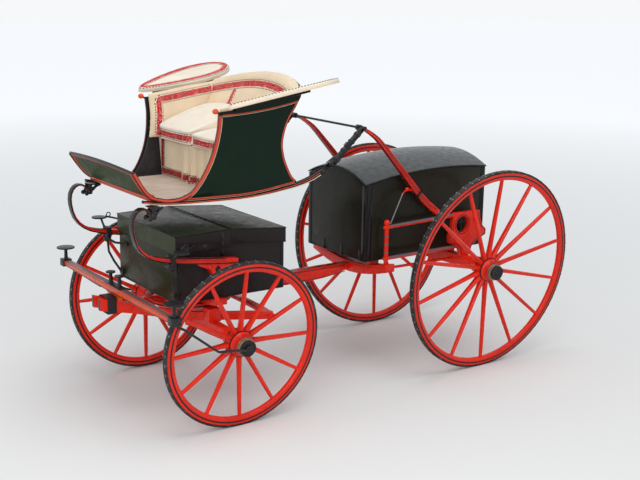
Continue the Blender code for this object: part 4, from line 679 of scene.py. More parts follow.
def crossed(points, height):
    """Where a line of (x, z) points passes a height."""
    for first, second in zip(points, points[1:]):
        if (first.y - height) * (second.y - height) <= 0 and first.y != second.y:
            return first.lerp(second, (height - first.y) / (second.y - first.y))
    return points[-1]


def sill_thick(t):
    return 0.017 + 0.019 * max(0.0, (t - 0.5) / 0.5)


SILL = in_frame(SILL_LINE, 6)
SILL_TOP = leftward(SILL, lambda t: -sill_thick(t))
BACK = in_frame(BACK_EDGE, 6)
FRONT = in_frame(FRONT_EDGE, 6)
TOP = in_frame(TOP_EDGE, 6)


# The braces' pins, on the whip springs and on the pump handles
HIGH_PIN = Vector((REAR_AXLE + 0.954, 1.745))
LOW_PIN = Vector((FRONT_AXLE - 0.821, 1.518))


# The body's sides


def sill_height(x):
    """The sill's upper face at x."""
    for first, second in zip(SILL_TOP, SILL_TOP[1:]):
        if second.x <= x <= first.x:
            return first.y + (second.y - first.y) * (first.x - x) / (first.x - second.x)
    return SILL_TOP[-1].y


def above_sill(points, clearance):
    return [point for point in points if point.y > sill_height(point.x) + clearance]


def body_side(side, at):
    back = [point for point in BACK if point.y > sill_height(point.x) + 0.001 and point.y < TOP[0].y - 0.006]
    front = above_sill(FRONT, 0.001)
    foot = [point + Vector((0, 0.0006)) for point in SILL_TOP if back[0].x < point.x < front[-1].x]
    bm = bmesh.new()
    made = loft(bm, [on_side(back + TOP + front + foot, side, out) for out in (0.0, -SIDE_THICK)], False)
    rims = []
    for ring in made:
        rims += bm.faces.new(ring).edges
    bmesh.ops.bevel(bm, geom=rims, offset=0.0022, segments=2, profile=0.5, affect="EDGES")
    panel = from_bm(f"panel_{at}", bm, "green", "gear", 40)
    recoloured(panel, ("black", lambda polygon: polygon.normal.y * side < -0.5))
    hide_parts(f"body_side_{at}")

    knob_at = Vector((FRONT[0].x + 0.024, side * (outer_y(1.914) - 0.003), 1.920))
    bm = bmesh.new()
    root = Vector((FRONT[0].x - 0.012, side * (outer_y(1.914) - 0.009), 1.902))
    neck = [root.lerp(knob_at, step / 6) for step in range(7)]
    add_tube(bm, neck, lambda t: 0.0092 - 0.003 * sin(pi * min(1.0, t * 1.15)), 14)
    from_bm(f"knob_neck_{at}", bm, "black", "gear", 50)
    bm = bmesh.new()
    add_ball(bm, knob_at, 0.0180, (1.08, 0.92, 0.95), 24)
    from_bm(f"body_knob_{at}", bm, "orange", "gear", 60)

    # The front edge: black, with an orange-red line at its outer corner
    shown = [point for point in above_sill(FRONT, 0.010) if point.y < 1.908]
    ahead = [Vector((-way.y, 0, way.x)) for way in ways(shown)]
    edge = on_side(shown, side, -SIDE_THICK / 2)
    strip(f"front_edge_{at}", [(edge, ahead)], 0.0150, 0.0008, "black")
    edge = on_side(shown, side, -0.0030)
    strip(f"front_edge_line_{at}", [(edge, ahead)], 0.0042, 0.0014, "moulding")

    # Half-round orange-red mouldings round the panel, with cream lines beside them
    front = above_sill(FRONT, 0.006)
    fore = [point for point in above_sill(leftward(front, -0.0105), 0.004) if point.y < 1.905]
    beside = [point for point in above_sill(leftward(front, -0.0215), 0.016) if point.y < 1.892]
    start, stop = back[0].x + 0.006, front[-1].x
    foot = [point + Vector((0, 0.011)) for point in SILL_TOP if start < point.x < stop - 0.004]
    below = [point + Vector((0, 0.002)) for point in SILL_TOP if start < point.x < stop + 0.006]
    rear = [point for point in above_sill(leftward(BACK, -0.0085), 0.010) if point.y < 1.960]
    top = in_frame(ARM_LINE, 8)
    lower = [point - Vector((0, 0.0080)) for point in top]
    normal = Vector((0, side, -SIDE_FLARE))
    for name, line, wide, thick, bend in (
        ("front_moulding", fore, 0.0165, 0.0012, 0.0042),
        ("front_line", beside, 0.0030, 0.0006, 0.0),
        ("foot_moulding", foot, 0.0100, 0.0010, 0.0030),
        ("foot_line", below, 0.0032, 0.0008, 0.0),
        ("rear_moulding", rear, 0.0095, 0.0010, 0.0032),
        ("top_moulding", top, 0.0070, 0.0010, 0.0022),
        ("top_line", lower, 0.0022, 0.0006, 0.0),
    ):
        paint = "moulding" if bend else "cream_line"
        route = [(on_side(line, side), normal)]
        strip(f"{name}_{at}", route, wide, thick, paint, bend=bend)


both(body_side)


def sill(side, at):
    """The pump handle, with rounded edges, down to its eye for the brace."""
    bm = bmesh.new()
    rings = []
    for low, high in zip(SILL, SILL_TOP):
        inner, outer = SILL_Y - SILL_HALF, SILL_Y + SILL_HALF
        if low.x < LOW_PIN.x + 0.034:
            break
        if low.x < LOW_PIN.x + 0.060:
            outer = min(outer, 0.4030 + (low.x - LOW_PIN.x - 0.034))
        up = (high - low).normalized()
        thick = (high - low).length
        ring = []
        corners = ((outer, 0, -1, 1), (outer, thick, -1, -1), (inner, thick, 1, -1), (inner, 0, 1, 1))
        for y, z, turn_y, turn_z in corners:
            steps = ((0, 1), (0.3, 0.3), (1, 0)) if (y == outer) == (z == 0) else ((1, 0), (0.3, 0.3), (0, 1))
            for one, two in steps:
                place = low + up * (z + turn_z * two * SILL_EASE)
                ring.append(Vector((place.x, side * (y + turn_y * one * SILL_EASE), place.y)))
        rings.append(ring)
    loft(bm, rings)
    collar = [(0.0001, 0), (0.0182, 0), (0.0190, 0.0010), (0.0190, 0.0062), (0.0182, 0.0072)]
    collar += [(0.0001, 0.0072)]
    add_turned(bm, collar, aimed((LOW_PIN.x, side * 0.3955, LOW_PIN.y), (0, side, 0)), 32)
    spin = Matrix.Rotation(radians(23.5), 4, "Y")
    plate_at = Matrix.Translation((LOW_PIN.x, side * 0.3992, LOW_PIN.y)) @ spin
    add_box(bm, (-0.004, -0.0034, -0.0165), (0.040, 0.0034, 0.0165), 0.0015, 2, plate_at)
    pin = [(0.0001, 0), (0.0080, 0), (0.0080, 0.050), (0.0125, 0.0505), (0.0135, 0.0525), (0.0135, 0.0575)]
    pin += [(0.0090, 0.0600), (0.0001, 0.0605)]
    add_turned(bm, pin, aimed((LOW_PIN.x, side * 0.3925, LOW_PIN.y), (0, side, 0)), 20)
    piece = from_bm(f"pump_handle_{at}", bm, "black", "gear", 45)
    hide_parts(f"sill_{at}")
    shown = [pair for pair in zip(SILL, SILL_TOP) if pair[0].x > LOW_PIN.x + 0.075]
    for name, share, wide, paint in (
        ("red", 0.66, 0.0052, "moulding"),
        ("cream", 0.17, 0.0046, "cream_line"),
    ):
        route = at_y([low.lerp(high, share) for low, high in shown], side * (SILL_Y + SILL_HALF))
        strip(f"handle_{name}_{at}", [(route, (0, side, 0))], wide, 0.0009, paint)


both(sill)


def softened(node, material, body="gear", width=0.0016, segments=2, sides=None):
    """A finer copy of one of the carriage's own solids, its edges eased."""
    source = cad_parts[node]
    bm = bmesh.new()
    bm.from_mesh(source.data)
    bm.transform(source.matrix_world)
    bmesh.ops.remove_doubles(bm, verts=bm.verts, dist=0.00002)
    bmesh.ops.dissolve_limit(bm, angle_limit=radians(0.6), verts=bm.verts, edges=bm.edges)
    mesh = bpy.data.meshes.new(node + "_eased")
    bm.to_mesh(mesh)
    bm.free()
    made = bpy.data.objects.new(node + "_eased", mesh)
    SCENE.collection.objects.link(made)
    bevel = made.modifiers.new("ease", "BEVEL")
    bevel.width, bevel.segments = width, segments
    bevel.limit_method, bevel.angle_limit = "ANGLE", radians(28.0)
    eased = bpy.data.meshes.new_from_object(made.evaluated_get(bpy.context.evaluated_depsgraph_get()))
    bpy.data.objects.remove(made)
    bpy.data.meshes.remove(mesh)
    eased.name = node + "_eased"
    eased.materials.clear()
    made = finish(node + "_eased", eased, material, body, 35.0)
    if sides:
        recoloured(made, (sides, lambda polygon: abs(polygon.normal.y) > 0.7))
    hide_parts(node)
    return made


# Solids kept as they are but for eased edges: nodes, paint, slot, body, width, segments, side paint
for nodes, material, slot, body, width, segments, sides in (
    ("perch rear_bed rear_axle upper_bolster", "red", "red", "gear", 0.003, 2, None),
    ("front_axle", "red", "red", "fore_carriage", 0.0025, 2, None),
    ("splinter_bar", "orange", "orange_red", "fore_carriage", 0.0035, 3, None),
    ("lower_turntable roller_bolts", "iron", "black_iron", "fore_carriage", 0.0012, 2, None),
    ("outrigger_left outrigger_right", "iron", "black_iron", "fore_carriage", 0.0012, 2, None),
    ("pole_strap", "leather", "leather", "fore_carriage", 0.0012, 2, None),
    ("front_box", "olive", "dark_box", "gear", 0.003, 2, "box_side"),
    ("box_lid_front", "lid", "dark_box", "front_lid", 0.003, 3, "box_side"),
    ("box_lid_rear", "lid", "dark_box", "rear_lid", 0.003, 3, "box_side"),
    ("trunk", "trunk", "dark_box", "gear", 0.003, 2, None),
    ("trunk_door", "trunk", "dark_box", "drop_front", 0.003, 2, None),
    ("rear_frame_left rear_frame_right", "red", "red_iron", "gear", 0.0022, 2, None),
    ("step_iron_left step_iron_right", "iron", "black_iron", "gear", 0.0012, 2, None),
    ("body_loop_left body_loop_right", "iron", "black_iron", "gear", 0.0012, 2, None),
):
    for node in nodes.split():
        softened(node, material, body, width, segments, sides)

jaws = softened("futchells", "red", "fore_carriage", 0.0025)
recoloured(jaws, ("line", lambda polygon: polygon.center.x > 1.688 and polygon.normal.x > 0.95))


def in_elbow_eye(polygon):
    return hypot(polygon.center.x - FRONT_AXLE - 0.482, polygon.center.z - 1.340) < 0.045


def below_clip(polygon):
    x, z = polygon.center.x, polygon.center.z
    return x > REAR_AXLE + 0.575 + (1.26 - z) * 0.28 and z < 1.262


def in_whip_eye(polygon):
    return polygon.center.z > 1.722 and polygon.center.x > REAR_AXLE + 0.90


for at in ("left", "right"):
    recoloured(softened(f"elbow_spring_{at}", "red", width=0.0015), ("iron", in_elbow_eye))
    whip = softened(f"whip_spring_{at}", "red", width=0.0015)
    recoloured(whip, ("steel", below_clip), ("iron", in_whip_eye))


# Elbow springs: a black outer leaf, and dark lines where the leaves meet

ELBOW_PATH = [(0.482, 1.340), (0.525, 1.374), (0.565, 1.366), (0.593, 1.325), (0.596, 1.255), (0.570, 1.170)]
ELBOW_PATH += [(0.510, 1.108), (0.420, 1.077), (0.280, 1.054), (0.100, 1.032), (-0.095, 1.012)]
ELBOW_Y, LEAF_HALF = 0.456, 0.0225
ELBOW = in_frame(ELBOW_PATH, 2)


def elbow_leaves(t):
    return 0.010 + 0.022 * min(1.0, max(0.0, (t - 0.45) / 0.35))


def cross_way(points):
    """For a route of (x, z) points: the ways to the left of it, kept in the same plane."""
    return [Vector((-way.y, 0, way.x)) for way in ways(points)]


def elbow_trim(side, at):
    count = len(ELBOW) - 1
    outward = cross_way(ELBOW)
    inward = [-way for way in outward]
    back = at_y(leftward(ELBOW, elbow_leaves), side * ELBOW_Y)
    strip(f"elbow_back_{at}", [(back, outward)], 0.0452, 0.0016, "black", sink=0.0004)
    tip = at_y(ELBOW[:4], side * ELBOW_Y)
    strip(f"elbow_tip_{at}", [(tip, inward)], 0.0452, 0.0012, "black", sink=0.0003)
    upper = slice(int(0.60 * count) + 1, count)
    top = at_y(ELBOW[upper], side * (ELBOW_Y + 0.004))
    strip(f"elbow_top_{at}", [(top, inward[upper])], 0.0300, 0.0006, "line")
    edges, fine = [], []
    for face in (side, -side):
        y = side * ELBOW_Y + face * LEAF_HALF
        edges.append((at_y(leftward(ELBOW, lambda t: elbow_leaves(t) - 0.0032), y), (0, face, 0)))
        for depth, start in ((0.0008, 0.0), (0.0095, 0.58), (0.0175, 0.72)):
            line = leftward(ELBOW, depth)
            shown = [point for index, point in enumerate(line) if start <= index / count < 0.99]
            fine.append((at_y(shown, y), (0, face, 0)))
    strip(f"elbow_edge_{at}", edges, 0.0066, 0.0007, "black")
    strip(f"elbow_leaf_lines_{at}", fine, 0.0022, 0.0005, "line")
    # Bolts through the bracket, and a boss in its round eye
    bm = bmesh.new()
    for x, z, size in ((-0.005, 0.986, 0.0072), (0.095, 0.984, 0.0072), (0.150, 1.003, 0.006)):
        bolt = [(size, -0.002), (size, 0.003), (size * 0.6, 0.005), (0.0001, 0.005)]
        add_turned(bm, bolt, aimed((FRONT_AXLE + x, side * 0.4672, z), (0, side, 0)), 6)
    from_bm(f"elbow_bolts_{at}", bm, "red", "gear", 30)
    bm = bmesh.new()
    boss = [(0.0180, 0), (0.0180, 0.050), (0.0150, 0.056), (0.0080, 0.060), (0.0001, 0.061)]
    add_turned(bm, boss, aimed((FRONT_AXLE + 0.042, side * 0.4025, 0.958), (0, side, 0)), 20)
    from_bm(f"elbow_boss_{at}", bm, "iron", "gear", 40)


both(elbow_trim)


# Whip springs: black lines along their sides, and an iron clip

WHIP_PATH = [(0.940, 1.742), (0.887, 1.728), (0.796, 1.671), (0.702, 1.578), (0.569, 1.436), (0.445, 1.300)]
WHIP_PATH += [(0.343, 1.198), (0.200, 1.095)]
WHIP = [Vector((REAR_AXLE + point.x, point.y)) for point in smooth_line(WHIP_PATH, 4)]
WHIP_Y, WHIP_HALF = 0.383, 0.020
CLIP_Z = 1.262


def whip_leaves(t):
    return 0.012 + 0.030 * min(1.0, t * 1.3)


def whip_trim(side, at):
    count = len(WHIP) - 1
    lines = []
    for face in (side, -side):
        for share, start in ((0.22, 0.08), (0.42, 0.20), (0.62, 0.30), (0.82, 0.42)):
            line = leftward(WHIP, lambda t: whip_leaves(t) * share)
            shown = [point for index, point in enumerate(line) if index / count >= start and point.y > 1.125]
            lines.append((at_y(shown, side * WHIP_Y + face * WHIP_HALF), (0, face, 0)))
    strip(f"whip_lines_{at}", lines, 0.0032, 0.0005, "line")
    under = [point for point in leftward(WHIP, whip_leaves) if point.y > 1.130]
    back = [(at_y(under, side * WHIP_Y), cross_way(WHIP))]
    strip(f"whip_back_{at}", back, 0.022, 0.0008, "line")
    # The clip round the leaves
    middle = min(range(len(WHIP)), key=lambda index: abs(WHIP[index].y - CLIP_Z))
    way = ways(WHIP)[middle]
    thick = whip_leaves(middle / count)
    spin = Matrix(((way.x, 0, -way.y), (0, 1, 0), (way.y, 0, way.x))).to_4x4()
    matrix = Matrix.Translation((WHIP[middle].x, side * WHIP_Y, WHIP[middle].y)) @ spin
    bm = bmesh.new()
    for low_y, high_y, low, high, bevel in (
        (-0.0245, 0.0245, thick - 0.001, thick + 0.0045, 0.0012),
        (-0.0245, 0.0245, -0.0045, 0.001, 0.0012),
        (0.0199, 0.0245, -0.004, thick + 0.004, 0.0010),
        (-0.0245, -0.0199, -0.004, thick + 0.004, 0.0010),
    ):
        add_box(bm, (-0.009, low_y, low), (0.009, high_y, high), bevel, 2, matrix)
    from_bm(f"whip_clip_{at}", bm, "iron", "gear", 40)


both(whip_trim)


# Lines on the wood: splinter bar and perch

BAR_STEPS = spaced(-0.762, 0.762, 40)
for name, out, up, wide, paint, facing in (
    ("top_band", -0.10, 1.0, 0.030, "mauve", (0, 0, 1)),
    ("top_line", 0.80, 1.0, 0.0035, "line", (0, 0, 1)),
    ("front_line", 1.0, 0.62, 0.0050, "mauve", (1, 0, 0)),
    ("foot_line", 1.0, -0.74, 0.0050, "line", (1, 0, 0)),
):
    route = []
    for y in BAR_STEPS:
        shrink = 1 - 0.24 * abs(y) / 0.815
        route.append((FRONT_AXLE + 0.510 + out * 0.029 * shrink, y, 0.790 + up * 0.021 * shrink))
    strip(f"splinter_{name}", [(route, facing)], wide, 0.0006, paint, "fore_carriage")

PERCH_REAR = REAR_AXLE + 0.745
PERCH_STEPS = spaced(PERCH_REAR, FRONT_AXLE - 0.060, 30)


def perch_foot(x):
    share = (x - PERCH_REAR) / (FRONT_AXLE - 0.300 - PERCH_REAR)
    return 0.650 + 0.030 * abs(2 * min(1.0, share) - 1) ** 3


tops = [([(x, 0, 0.727) for x in PERCH_STEPS[1:-1]], (0, 0, 1))]
edges = [([(x, side * 0.035, 0.716) for x in PERCH_STEPS[1:-1]], (0, side, 0)) for side in (1, -1)]
feet = [([(x, side * 0.035, perch_foot(x)) for x in PERCH_STEPS[1:-8]], (0, side, 0)) for side in (1, -1)]
for name, routes, wide in (
    ("top_line", tops, 0.030),
    ("side_lines", edges, 0.0055),
    ("foot_lines", feet, 0.0045),
):
    strip(f"perch_{name}", routes, wide, 0.0006, "line")


# Rear frames: grey-mauve bands along the rails, dark lines round the bracket, and scrolls in its hole

FRAME_Y = 0.405
POST_X = REAR_AXLE + 0.715
RAIL_TILT = 0.70


def upper_rail(x_from_axle):
    return 1.052 + 0.024 * (0.715 - x_from_axle) / 0.715


def lower_rail(x_from_axle):
    return 0.834 + 0.006 * (0.715 - x_from_axle) / 0.685


def frame_trim(side, at):
    bands, fine = [], []
    for low, height in ((0.120, upper_rail), (0.075, lower_rail)):
        line = [Vector((REAR_AXLE + x, side * FRAME_Y, height(x))) for x in spaced(low, 0.690, 24)]
        for face in (side, -side):
            facing = Vector((0, face * cos(RAIL_TILT), sin(RAIL_TILT)))
            bands.append(([point + facing * 0.0129 for point in line], facing))
        fine.append(([point + Vector((0, 0, 0.0129)) for point in line], (0, 0, 1)))
    strip(f"rail_bands_{at}", bands, 0.0135, 0.0006, "mauve")
    strip(f"rail_lines_{at}", fine, 0.0040, 0.0006, "line")
    top = upper_rail(0) + 0.013
    foot = REAR_HUB_Z + 0.0523
    hole = Vector((REAR_AXLE + 0.040, top - 0.088))
    rear_edge = [(-0.112, top - 0.012), (-0.118, top - 0.062), (-0.142, top - 0.116)]
    rear_edge += [(-0.176, top - 0.150), (-0.174, top - 0.180), (-0.096, top - 0.211)]
    rear_edge += [(-0.045, foot + 0.060), (-0.030, foot + 0.010)]
    fore_edge = [(0.032, foot + 0.010), (0.050, foot + 0.062), (0.094, top - 0.226), (0.142, top - 0.208)]
    fore_edge += [(0.148, top - 0.168), (0.126, top - 0.112), (0.119, top - 0.050)]
    circle = [hole + Vector(way) * 0.069 for way in turns(40) + turns(1)]
    outlines = [circle]
    for edge in (rear_edge, fore_edge):
        outlines.append([point + Vector((REAR_AXLE, 0)) for point in smooth_line(edge, 5)])
    lines = []
    for face in (side, -side):
        lines += [(at_y(outline, side * FRAME_Y + face * 0.017), (0, face, 0)) for outline in outlines]
    strip(f"bracket_lines_{at}", lines, 0.0060, 0.0006, "line")
    bm = bmesh.new()
    for spin, way in ((0.4, 1), (2.6, -1)):
        centre = hole + Vector((0.026 * cos(spin), 0.020 + 0.010 * sin(spin)))
        scroll = [hole + Vector((0, 0.0585))]
        for t in spaced(0, 1, 24):
            turn_at = pi * 1.75 * t * way + pi / 2
            scroll.append(centre + Vector((cos(turn_at), sin(turn_at))) * 0.020 * (1 - 0.65 * t))
        add_tube(bm, smooth_line(at_y(scroll, side * FRAME_Y), 3), lambda t: 0.0052 - 0.002 * t, 10)
    stem = [(hole.x, hole.y + up) for up in spaced(-0.0595, 0.0595, 8)]
    add_tube(bm, at_y(stem, side * FRAME_Y), lambda t: 0.0055 - 0.002 * sin(pi * t), 10)
    from_bm(f"bracket_scrolls_{at}", bm, "iron", "gear", 60)
    # The post's turned rings, and the balls and nuts at the rails' ends
    bm = bmesh.new()
    for z in (0.880, 0.935, 0.990):
        place = Matrix.Translation((POST_X, side * FRAME_Y, z))
        add_turned(bm, [(0.0150, -0.0045), (0.0168, -0.0035), (0.0168, 0.0035), (0.0150, 0.0045)], place, 24)
    from_bm(f"post_rings_{at}", bm, "mauve", "gear", 50)
    bm = bmesh.new()
    nut = [(0.0085, -0.004), (0.0085, 0.006), (0.006, 0.009), (0.0001, 0.009)]
    for z in (0.834, upper_rail(0.715)):
        for reach in (-0.019, 0.019):
            add_ball(bm, Vector((POST_X + reach, side * FRAME_Y, z)), 0.0120, (0.75, 1, 1), 16)
        add_turned(bm, nut, aimed((POST_X, side * 0.4195, z), (0, side, 0)), 6)
    from_bm(f"post_balls_{at}", bm, "red", "gear", 50)


both(frame_trim)


# Front box: black beads along its edges, hinge knuckles on the seam, rings, hasps and corner irons

SEAM_X, LID_THICK = 0.970, 0.0123
LID_SIDE, BOX_SIDE, BOX_FOOT = 0.4103, 0.4002, 0.757


def box_top(x):
    """The lids' upper face."""
    front, rear = 1.340, 0.575
    if x > SEAM_X:
        top = 1.172 + (1.163 - 1.172) * (x - SEAM_X) / (front - SEAM_X)
    else:
        top = 1.138 + (1.172 - 1.138) * (x - rear) / (SEAM_X - rear)
    return top + LID_THICK


def bead(name, routes, radius, body="gear", sides=8):
    bm = bmesh.new()
    for route in routes:
        add_tube(bm, [Vector(point) for point in route], radius, sides)
    return from_bm(name, bm, "black", body, 60.0)


ACROSS_LID = spaced(-LID_SIDE, LID_SIDE, 8)
for body, rear, front, end, seam, skirt in (
    ("front_lid", 0.973, 1.3503, 1.3503, 0.977, 0.100),
    ("rear_lid", 0.5647, 0.967, 0.5647, 0.963, 0.085),
):
    crossing = [(end, box_top(end) - 0.0020), (seam, box_top(seam) + 0.0004)]
    if body == "rear_lid":
        crossing.append((end, box_top(end) - LID_THICK - skirt + 0.005))
    routes = [[(x, y, z) for y in ACROSS_LID] for x, z in crossing]
    for side in (1, -1):
        for out, drop in ((LID_SIDE, 0.0020), (LID_SIDE + 0.0004, LID_THICK + skirt - 0.005)):
            routes.append([(x, side * out, box_top(x) - drop) for x in spaced(rear, front, 6)])
    bead(f"{body}_beads", routes, 0.0030, body=body)

bm = bmesh.new()
for y in spaced(-0.36, 0.36, 13):
    knuckle = [(0.0001, -0.013), (0.0052, -0.012), (0.0056, 0.0), (0.0052, 0.012), (0.0001, 0.013)]
    add_turned(bm, knuckle, aimed((SEAM_X, y, 1.1856), (0, 1, 0)), 12)
from_bm("seam_knuckles", bm, "black", "gear", 50)


def box_fittings(side, at):
    """Ring pulls on the lid's skirt, a hasp over the seam, and irons down the box's side."""
    face, wall = side * (LID_SIDE + 0.0002), side * BOX_SIDE
    bm = bmesh.new()
    for x, z in ((1.300, 1.098), (1.150, 1.092)):
        plate = [(0.0155, -0.001), (0.0155, 0.0004), (0.013, 0.0022), (0.006, 0.0036), (0.0001, 0.004)]
        add_turned(bm, plate, aimed((x, face, z), (0, side, 0)), 20)
        ring = []
        for out, up in turns(24) + turns(1):
            lean = side * (0.0050 + 0.0030 * (1 - up) / 2)
            ring.append(Vector((x + 0.0115 * out, face + lean, z - 0.0105 + 0.0115 * up)))
        add_tube(bm, ring, 0.0021, 8, False)
    from_bm(f"lid_rings_{at}", bm, "iron", "front_lid", 50)
    bm = bmesh.new()
    side_box(bm, (1.020, 1.036), face, side * 0.003, (1.085, 1.165), 0.0012)
    add_ball(bm, Vector((1.028, face + side * 0.006, 1.130)), 0.0068, sides=12)
    from_bm(f"hasp_{at}", bm, "iron", "front_lid", 50)
    bm = bmesh.new()
    side_box(bm, (1.018, 1.038), wall, side * 0.0045, (1.020, 1.058), 0.0012)
    add_ball(bm, Vector((1.028, wall + side * 0.0065, 1.040)), 0.0068, sides=12)
    for x in (1.327, 0.588):
        side_box(bm, (x - 0.011, x + 0.011), wall, side * 0.0014, (0.765, 1.045), 0.0006)
        for z in (0.790, 0.870, 0.950, 1.025):
            add_ball(bm, Vector((x, wall + side * 0.0016, z)), 0.0040, (1, 0.5, 1), 10)
    from_bm(f"box_irons_{at}", bm, "black", "gear", 50)
    foot = [(x, side * (BOX_SIDE + 0.0001), BOX_FOOT) for x in spaced(0.578, 1.338, 6)]
    bead(f"box_foot_bead_{at}", [foot], 0.0035)


both(box_fittings)
bead("box_front_bead", [[(1.3403, y, BOX_FOOT) for y in spaced(-0.398, 0.398, 6)]], 0.0035)


# Trunk: the vaulted lid with a thin rolled edge, corner strips, strap hinges at the drop front's foot

TRUNK_REAR_X, TRUNK_FRONT_X, TRUNK_HALF = -1.200, -0.135, 0.340
LID_REAR_X, LID_FRONT_X, LID_HALF = TRUNK_REAR_X - 0.004, TRUNK_FRONT_X + 0.0183, TRUNK_HALF + 0.004
DOOR_FACE = TRUNK_FRONT_X + 0.0143


def trunk_top(x, y):
    share = (x - TRUNK_REAR_X) / (TRUNK_FRONT_X - TRUNK_REAR_X)
    edge = 1.397 + (1.353 - 1.397) * share
    return edge + 4 * 0.0417 * share * (1 - share) + 0.085 * (1 - min(1.0, abs(y) / TRUNK_HALF) ** 2)


top, low = [], []
for x in spaced(LID_REAR_X, LID_FRONT_X, 40):
    line = [(x, v * LID_HALF, trunk_top(x, v * LID_HALF)) for v in spaced(-1, 1, 40)]
    top.append([(x, y, z + 0.0007 * noise.noise(Vector((x * 3.0, y * 3.0, 11.0)))) for x, y, z in line])
    low.append([(x, y, z - 0.0119) for x, y, z in line])
bm = bmesh.new()
slab(bm, top, low)
bevel_sharp(bm, 0.0030, 3)
lid = from_bm("trunk_lid_leathered", bm, "trunk_lid", "vaulted_lid", 40)
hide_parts("trunk_lid")
routes = []
for side in (1, -1):
    line = spaced(LID_REAR_X, LID_FRONT_X, 24)
    routes.append([(x, side * (LID_HALF + 0.0002), trunk_top(x, LID_HALF) - 0.0075) for x in line])
for x in (LID_REAR_X - 0.0002, LID_FRONT_X + 0.0002):
    routes.append([(x, y, trunk_top(x, y) - 0.0075) for y in spaced(-LID_HALF, LID_HALF, 24)])
bead("trunk_lid_bead", routes, 0.0040, body="vaulted_lid")


def trunk_corners(side, at):
    bm = bmesh.new()
    wall = side * (TRUNK_HALF + 0.0001)
    for x in (TRUNK_FRONT_X - 0.020, TRUNK_REAR_X + 0.021):
        high = trunk_top(x, TRUNK_HALF) - 0.016
        side_box(bm, (x - 0.020, x + 0.020), wall, side * 0.0014, (0.812, high), 0.0006)
    from_bm(f"trunk_posts_{at}", bm, "black", "gear", 40)
    bm = bmesh.new()
    face, inner = DOOR_FACE + 0.0001, TRUNK_HALF - 0.038
    high = trunk_top(face, inner) - 0.034
    side_box(bm, (face, face + 0.0014), side * inner, side * 0.037, (0.815, high), 0.0006)
    from_bm(f"door_post_{at}", bm, "black", "drop_front", 40)


both(trunk_corners)
bm = bmesh.new()
for y in (-0.142, 0.071, 0.283):
    add_box(bm, (DOOR_FACE, y - 0.011, 0.818), (DOOR_FACE + 0.0030, y + 0.011, 0.885), 0.0010)
    for z in (0.872, 0.848):
        add_ball(bm, Vector((DOOR_FACE + 0.003, y, z)), 0.0048, (0.6, 1, 1), 10)
    knuckle = [(0.0001, -0.016), (0.0062, -0.015), (0.0062, 0.015), (0.0001, 0.016)]
    add_turned(bm, knuckle, aimed((DOOR_FACE + 0.0055, y, 0.8175), (0, 1, 0)), 14)
from_bm("door_hinges", bm, "iron", "drop_front", 45)
foot = [(DOOR_FACE + 0.0002, y, 0.8165) for y in spaced(-0.296, 0.296, 8)]
bead("door_foot_bead", [foot], 0.0028, body="drop_front")


# Leather braces: a strap doubled round both pins, with keepers, and a buckle

BRACE_Y = 0.4223
STRAP_HALF = 0.0185
LOOP_RADIUS = 0.0112
STRAP_EDGE = [(-1, -0.6), (-0.93, -1), (0.93, -1), (1, -0.6), (1, 0.6), (0.93, 1), (-0.93, 1), (-1, 0.6)]
KEEPERS = [(0.17, 0.011, 0.0), (0.36, 0.008, 0.0), (0.60, 0.011, 0.0), (0.83, 0.014, 0.0008)]
KEEPER_EDGE = [(1, 0.55), (0.90, 1), (-0.90, 1), (-1, 0.55), (-1, -0.55), (-0.90, -1), (0.90, -1), (1, -0.55)]
KEEPER_SECTION = [(-1, 0.0), (-0.8, 0.0026), (0.8, 0.0026), (1, 0.0), (1, -0.0012), (-1, -0.0012)]


